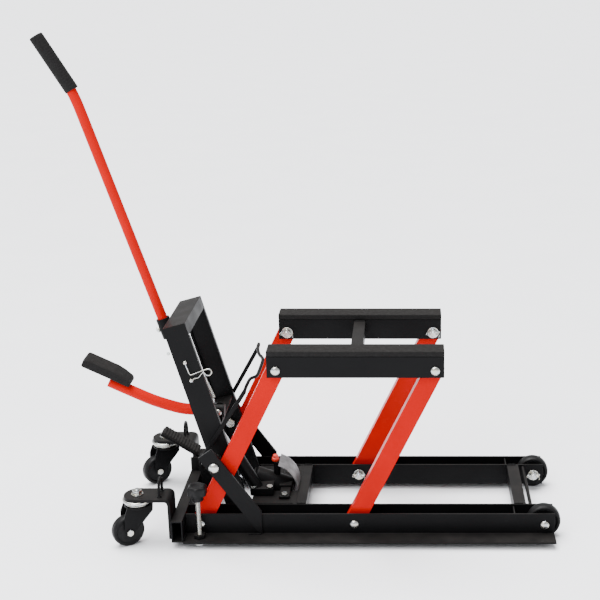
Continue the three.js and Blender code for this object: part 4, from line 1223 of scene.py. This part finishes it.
class LIFT_OT_pump_pedal(bpy.types.Operator):
    """Build the pump pedal, its rubber pad, its pivot bolt and its return spring"""

    bl_idname = "lift.pump_pedal"
    bl_label = "Pump pedal"

    def execute(self, context):
        radius = context.scene.lift_handle.pedal_radius / MM
        y = PEDAL_Y
        route = [(-204, 334.4), (-160, 313), (-113, 291), (-70, 276), (-32, 268), (44, 265)]
        path = smooth([at(x, y, z) for x, z in route], 14)
        along, up = slope_axes(PAD_SLOPE)
        shells = [swept(path, ring(radius, 40)), soft_bar(36, 10, 14, 1.2, at(-184, y, 335.6), along, up)]
        add_piece("pump_pedal_finished", shells, red_enamel, "pedal", "pump_pedal")
        pad = pedal_pad_shell(at(PAD_X, y, PAD_Z), along, up)
        add_piece("pedal_pad_finished", [pad], rubber, "pedal", "pedal_pad", sharp=50)
        sleeve = swept(smooth([at(-6, y, 266.3), at(20, y, 265.6), at(47, y, 264.9)], 8),
                       ring(radius + 1.6, 40))
        round_edges(add_piece("pedal_knuckle", [sleeve], black_powder_coat, "pedal"), 1.0)

        pivot = joint_point("pump_pedal_press") * np.array([1, 0, 1]) + np.array([0, y * MM, 0])
        bolt = [
            turned([(0, -20), (5, -20), (5, 22.5), (4.4, 23), (0, 23)], pivot, (0, 1, 0), 32),
            dome_head(pivot + np.array([0, -18.3 * MM, 0]), (0, -1, 0), 9, 5.4),
            hexagon(7.8, 18.4, 22.8, pivot, (0, 1, 0), 0.8),
        ]
        add_piece("pedal_pivot_finished", bolt, zinc_plate, "frame", "pedal_pivot_bolt")

        start, end = at(10, -70, 352), at(28, -68.4, 305)
        t = np.linspace(0, 1, 420)
        axis, across, above = axes_about(end - start)
        turn = 2 * math.pi * 17 * t
        coil = start + (end - start) * t[:, None] + 4.0 * MM * (
            np.cos(turn)[:, None] * across + np.sin(turn)[:, None] * above)
        hook = smooth([coil[0], start - axis * 2 * MM, at(7.6, -70, 358), at(6.4, -72, 359.5)], 6)
        tail = smooth([coil[-1], end + axis * 2 * MM, at(30.4, -68, 298.5)], 6)
        shells = [swept(coil, ring(0.85, 8), axis), wire(hook, 0.85), wire(tail, 0.85)]
        add_piece("pedal_spring_coil", shells, zinc_plate, "frame", "pedal_spring", sharp=60)
        return {"FINISHED"}


# ---- Release pedal ----


class LIFT_OT_release_pedal(bpy.types.Operator):
    """Build the ribbed rubber sleeve of the release pedal"""

    bl_idname = "lift.release_pedal"
    bl_label = "Release pedal"

    def execute(self, context):
        low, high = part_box("release_pad")
        centre = np.array((low + high) / 2)
        slope = math.atan2(54, 84)
        along, up = slope_axes(slope)

        def ribs(u):
            return 1.1 * np.clip(np.cos(2 * math.pi * u / 7.2), -0.35, 1)

        sleeve = soft_bar(97, 40, 6.2, 2.4, centre, along, up, ribs)
        add_piece("release_pad_finished", [sleeve], rubber, "release_pedal", "release_pad", sharp=60)
        return {"FINISHED"}


# ---- Locking bar ----


def flat_lever(pivot, tip, y, thickness=5.0, half=4.5):
    """A flat bar between two points, round at both ends."""
    direction = math.atan2(tip[1] - pivot[1], tip[0] - pivot[0])
    outline = []
    for (x, z), start in ((tip, direction - math.pi / 2), (pivot, direction + math.pi / 2)):
        for a in np.linspace(start, start + math.pi, 15):
            outline.append((x + half * math.cos(a), z + half * math.sin(a)))
    return prism(outline, y - thickness / 2, y + thickness / 2)


class LIFT_OT_locking_bar(bpy.types.Operator):
    """Build the locking bar: two flat levers, a bent grip rod and its pins"""

    bl_idname = "lift.locking_bar"
    bl_label = "Locking bar"

    def execute(self, context):
        foot = (6, 182)
        levers = [flat_lever(foot, (101, 333), -105.5), flat_lever(foot, (104, 356), 105.5)]
        round_edges(add_piece("locking_levers", levers, black_powder_coat, "locking_bar", "lock_bar"), 0.9)
        route = [(100, -105.5, 331), (108, -103, 350), (114, -90, 358), (124, -72, 357), (127, -50, 359),
                 (130, 0, 369), (119, 30, 370), (112, 60, 371), (110, 92, 373), (107, 103, 366),
                 (103, 105.5, 352)]
        rod = wire(smooth([at(*p) for p in route], 12), 3.6, (1, 0, 0.35), 20)
        add_piece("locking_grip", [rod], black_powder_coat, "locking_bar", sharp=60)
        pins = []
        pivot = joint_point("locking_bar_swing") * np.array([1, 0, 1])
        for side in SIDES.values():
            out = np.array([0, side, 0])
            pins.append(turned([(0, 93), (2.8, 93), (3.4, 93.6), (3.4, 103), (0, 103)], pivot, out, 28))
            pins.append(dome_head(pivot + out * 107.8 * MM, out, 4.2, 1.6))
        add_piece("locking_pins", pins, black_powder_coat, "locking_bar")
        return {"FINISHED"}


# ---- Wire clip on the upright ----


class LIFT_OT_wire_clip(bpy.types.Operator):
    """Build the bent wire clip, its two studs and the top screws of the upright"""

    bl_idname = "lift.wire_clip"
    bl_label = "Wire clip"

    def execute(self, context):
        y = -102.4
        route = [(-23.6, 398.5), (-20, 388), (-16, 376), (-12, 372), (2, 377), (16, 383), (28, 385),
                 (33, 379), (29, 371), (22, 371), (14, 377), (4, 366), (-6, 363), (-9, 359), (-12.4, 357.5)]
        clip = wire(smooth([at(x, y - 0.9 * (i % 2), z) for i, (x, z) in enumerate(route)], 6), 1.15,
                    (0, 1, 0), 10)
        shells = [clip]
        for x, z in ((-23.6, 398.5), (-12.4, 357.5)):
            shells.append(dome_head(at(x, -99.8, z), (0, -1, 0), 4.6, 4.2))
        for side in SIDES.values():
            out = np.array([0, side, 0])
            shells.append(hexagon(3.4, 0, 2.6, at(-58, 0, 419) + out * 99.6 * MM, out, 0.5))
        add_piece("wire_clip", shells, zinc_plate, "frame")
        return {"FINISHED"}


# ---- Stage ----

CAMERA_PLACE = (455.66, -2448.45, 1271.7)
CAMERA_DIP = 17.28  # degrees below level
CAMERA_SHIFT = (-0.1807, -0.0012)
SENSOR_WIDTH = 36.0
FLOOR_HALF = 40.0  # metres, as the softbox's place and size are
KEY_PLACE, KEY_TARGET, KEY_SIZE = (-1.2, -1.9, 2.6), (0, 0, 0.3), 1.6
OVERHEAD_SPREAD = math.radians(50)
OVERHEAD_TILT = (math.radians(-8), math.radians(-10), 0)


def area_light(name, place, target, size, power):
    """A square softbox that faces a target."""
    data = bpy.data.lights.new(name, "AREA")
    data.shape = "SQUARE"
    data.size = size
    data.energy = power
    lamp = bpy.data.objects.new(name, data)
    bpy.context.scene.collection.objects.link(lamp)
    lamp.location = place
    direction = unit(np.asarray(target, float) - np.asarray(place, float))
    pitch = math.acos(-direction[2])
    lamp.rotation_euler = (pitch, 0, math.atan2(direction[1], direction[0]) - math.pi / 2)
    return lamp


class LIFT_OT_stage(bpy.types.Operator):
    """Set up the pale floor, the soft light and the camera"""

    bl_idname = "lift.stage"
    bl_label = "Stage"

    def execute(self, context):
        settings = context.scene.lift_stage
        grid = np.linspace(-FLOOR_HALF, FLOOR_HALF, 3)
        x, y = np.meshgrid(grid, grid, indexing="ij")
        floor = make_object(
            "floor", [grid_shell(np.stack([x, y, np.zeros_like(x)], -1), wrap_cols=False)], floor_paint()
        )
        if floor.data.polygons[0].normal.z < 0:
            floor.data.flip_normals()

        world = bpy.data.worlds.new("surroundings")
        world.use_nodes = True
        background = world.node_tree.nodes["Background"]
        background.inputs["Color"].default_value = linear("#ffffff")
        background.inputs["Strength"].default_value = settings.sky
        context.scene.world = world
        area_light("key_softbox", KEY_PLACE, KEY_TARGET, KEY_SIZE, settings.key_power)
        sun = bpy.data.lights.new("overhead_light", "SUN")
        sun.energy = settings.overhead
        sun.angle = OVERHEAD_SPREAD
        lamp = bpy.data.objects.new("overhead_light", sun)
        context.scene.collection.objects.link(lamp)
        lamp.rotation_euler = OVERHEAD_TILT

        data = bpy.data.cameras.new("camera")
        data.lens = settings.lens
        data.sensor_width = SENSOR_WIDTH
        data.shift_x, data.shift_y = CAMERA_SHIFT
        camera = bpy.data.objects.new("camera", data)
        context.scene.collection.objects.link(camera)
        camera.location = at(*CAMERA_PLACE)
        camera.rotation_euler = (math.radians(90 - CAMERA_DIP), 0, 0)
        context.scene.camera = camera
        return {"FINISHED"}


# ---- Panel and registration ----

OPERATORS = [
    LIFT_OT_frame,
    LIFT_OT_pads,
    LIFT_OT_bolts,
    LIFT_OT_rear_wheels,
    LIFT_OT_casters,
    LIFT_OT_straps,
    LIFT_OT_levelling_screws,
    LIFT_OT_handle,
    LIFT_OT_jack,
    LIFT_OT_pump_pedal,
    LIFT_OT_release_pedal,
    LIFT_OT_locking_bar,
    LIFT_OT_wire_clip,
    LIFT_OT_stage,
]


class LIFT_PT_sidebar(bpy.types.Panel):
    """Lists the lift's settings and its groups of pieces"""

    bl_idname = "LIFT_PT_sidebar"
    bl_label = "Motorcycle lift"
    bl_space_type = "VIEW_3D"
    bl_region_type = "UI"
    bl_category = "Lift"

    def draw(self, context):
        for name, settings in SETTINGS.items():
            box = self.layout.box()
            for key in settings.__annotations__:
                box.prop(getattr(context.scene, name), key)
        for operator in OPERATORS:
            self.layout.operator(operator.bl_idname)


def register():
    """Adds the settings, operators and panel."""
    for settings in SETTINGS.values():
        bpy.utils.register_class(settings)
    for name, settings in SETTINGS.items():
        setattr(bpy.types.Scene, name, bpy.props.PointerProperty(type=settings))
    for cls in (*OPERATORS, LIFT_PT_sidebar):
        bpy.utils.register_class(cls)


def unregister():
    """Removes the panel, operators and settings."""
    for cls in (LIFT_PT_sidebar, *reversed(OPERATORS)):
        bpy.utils.unregister_class(cls)
    for name, settings in SETTINGS.items():
        delattr(bpy.types.Scene, name)
        bpy.utils.unregister_class(settings)


def main():
    """Builds every group in order."""
    register()
    for operator in OPERATORS:
        group, name = operator.bl_idname.split(".")
        getattr(getattr(bpy.ops, group), name)()


if __name__ == "__main__":
    main()
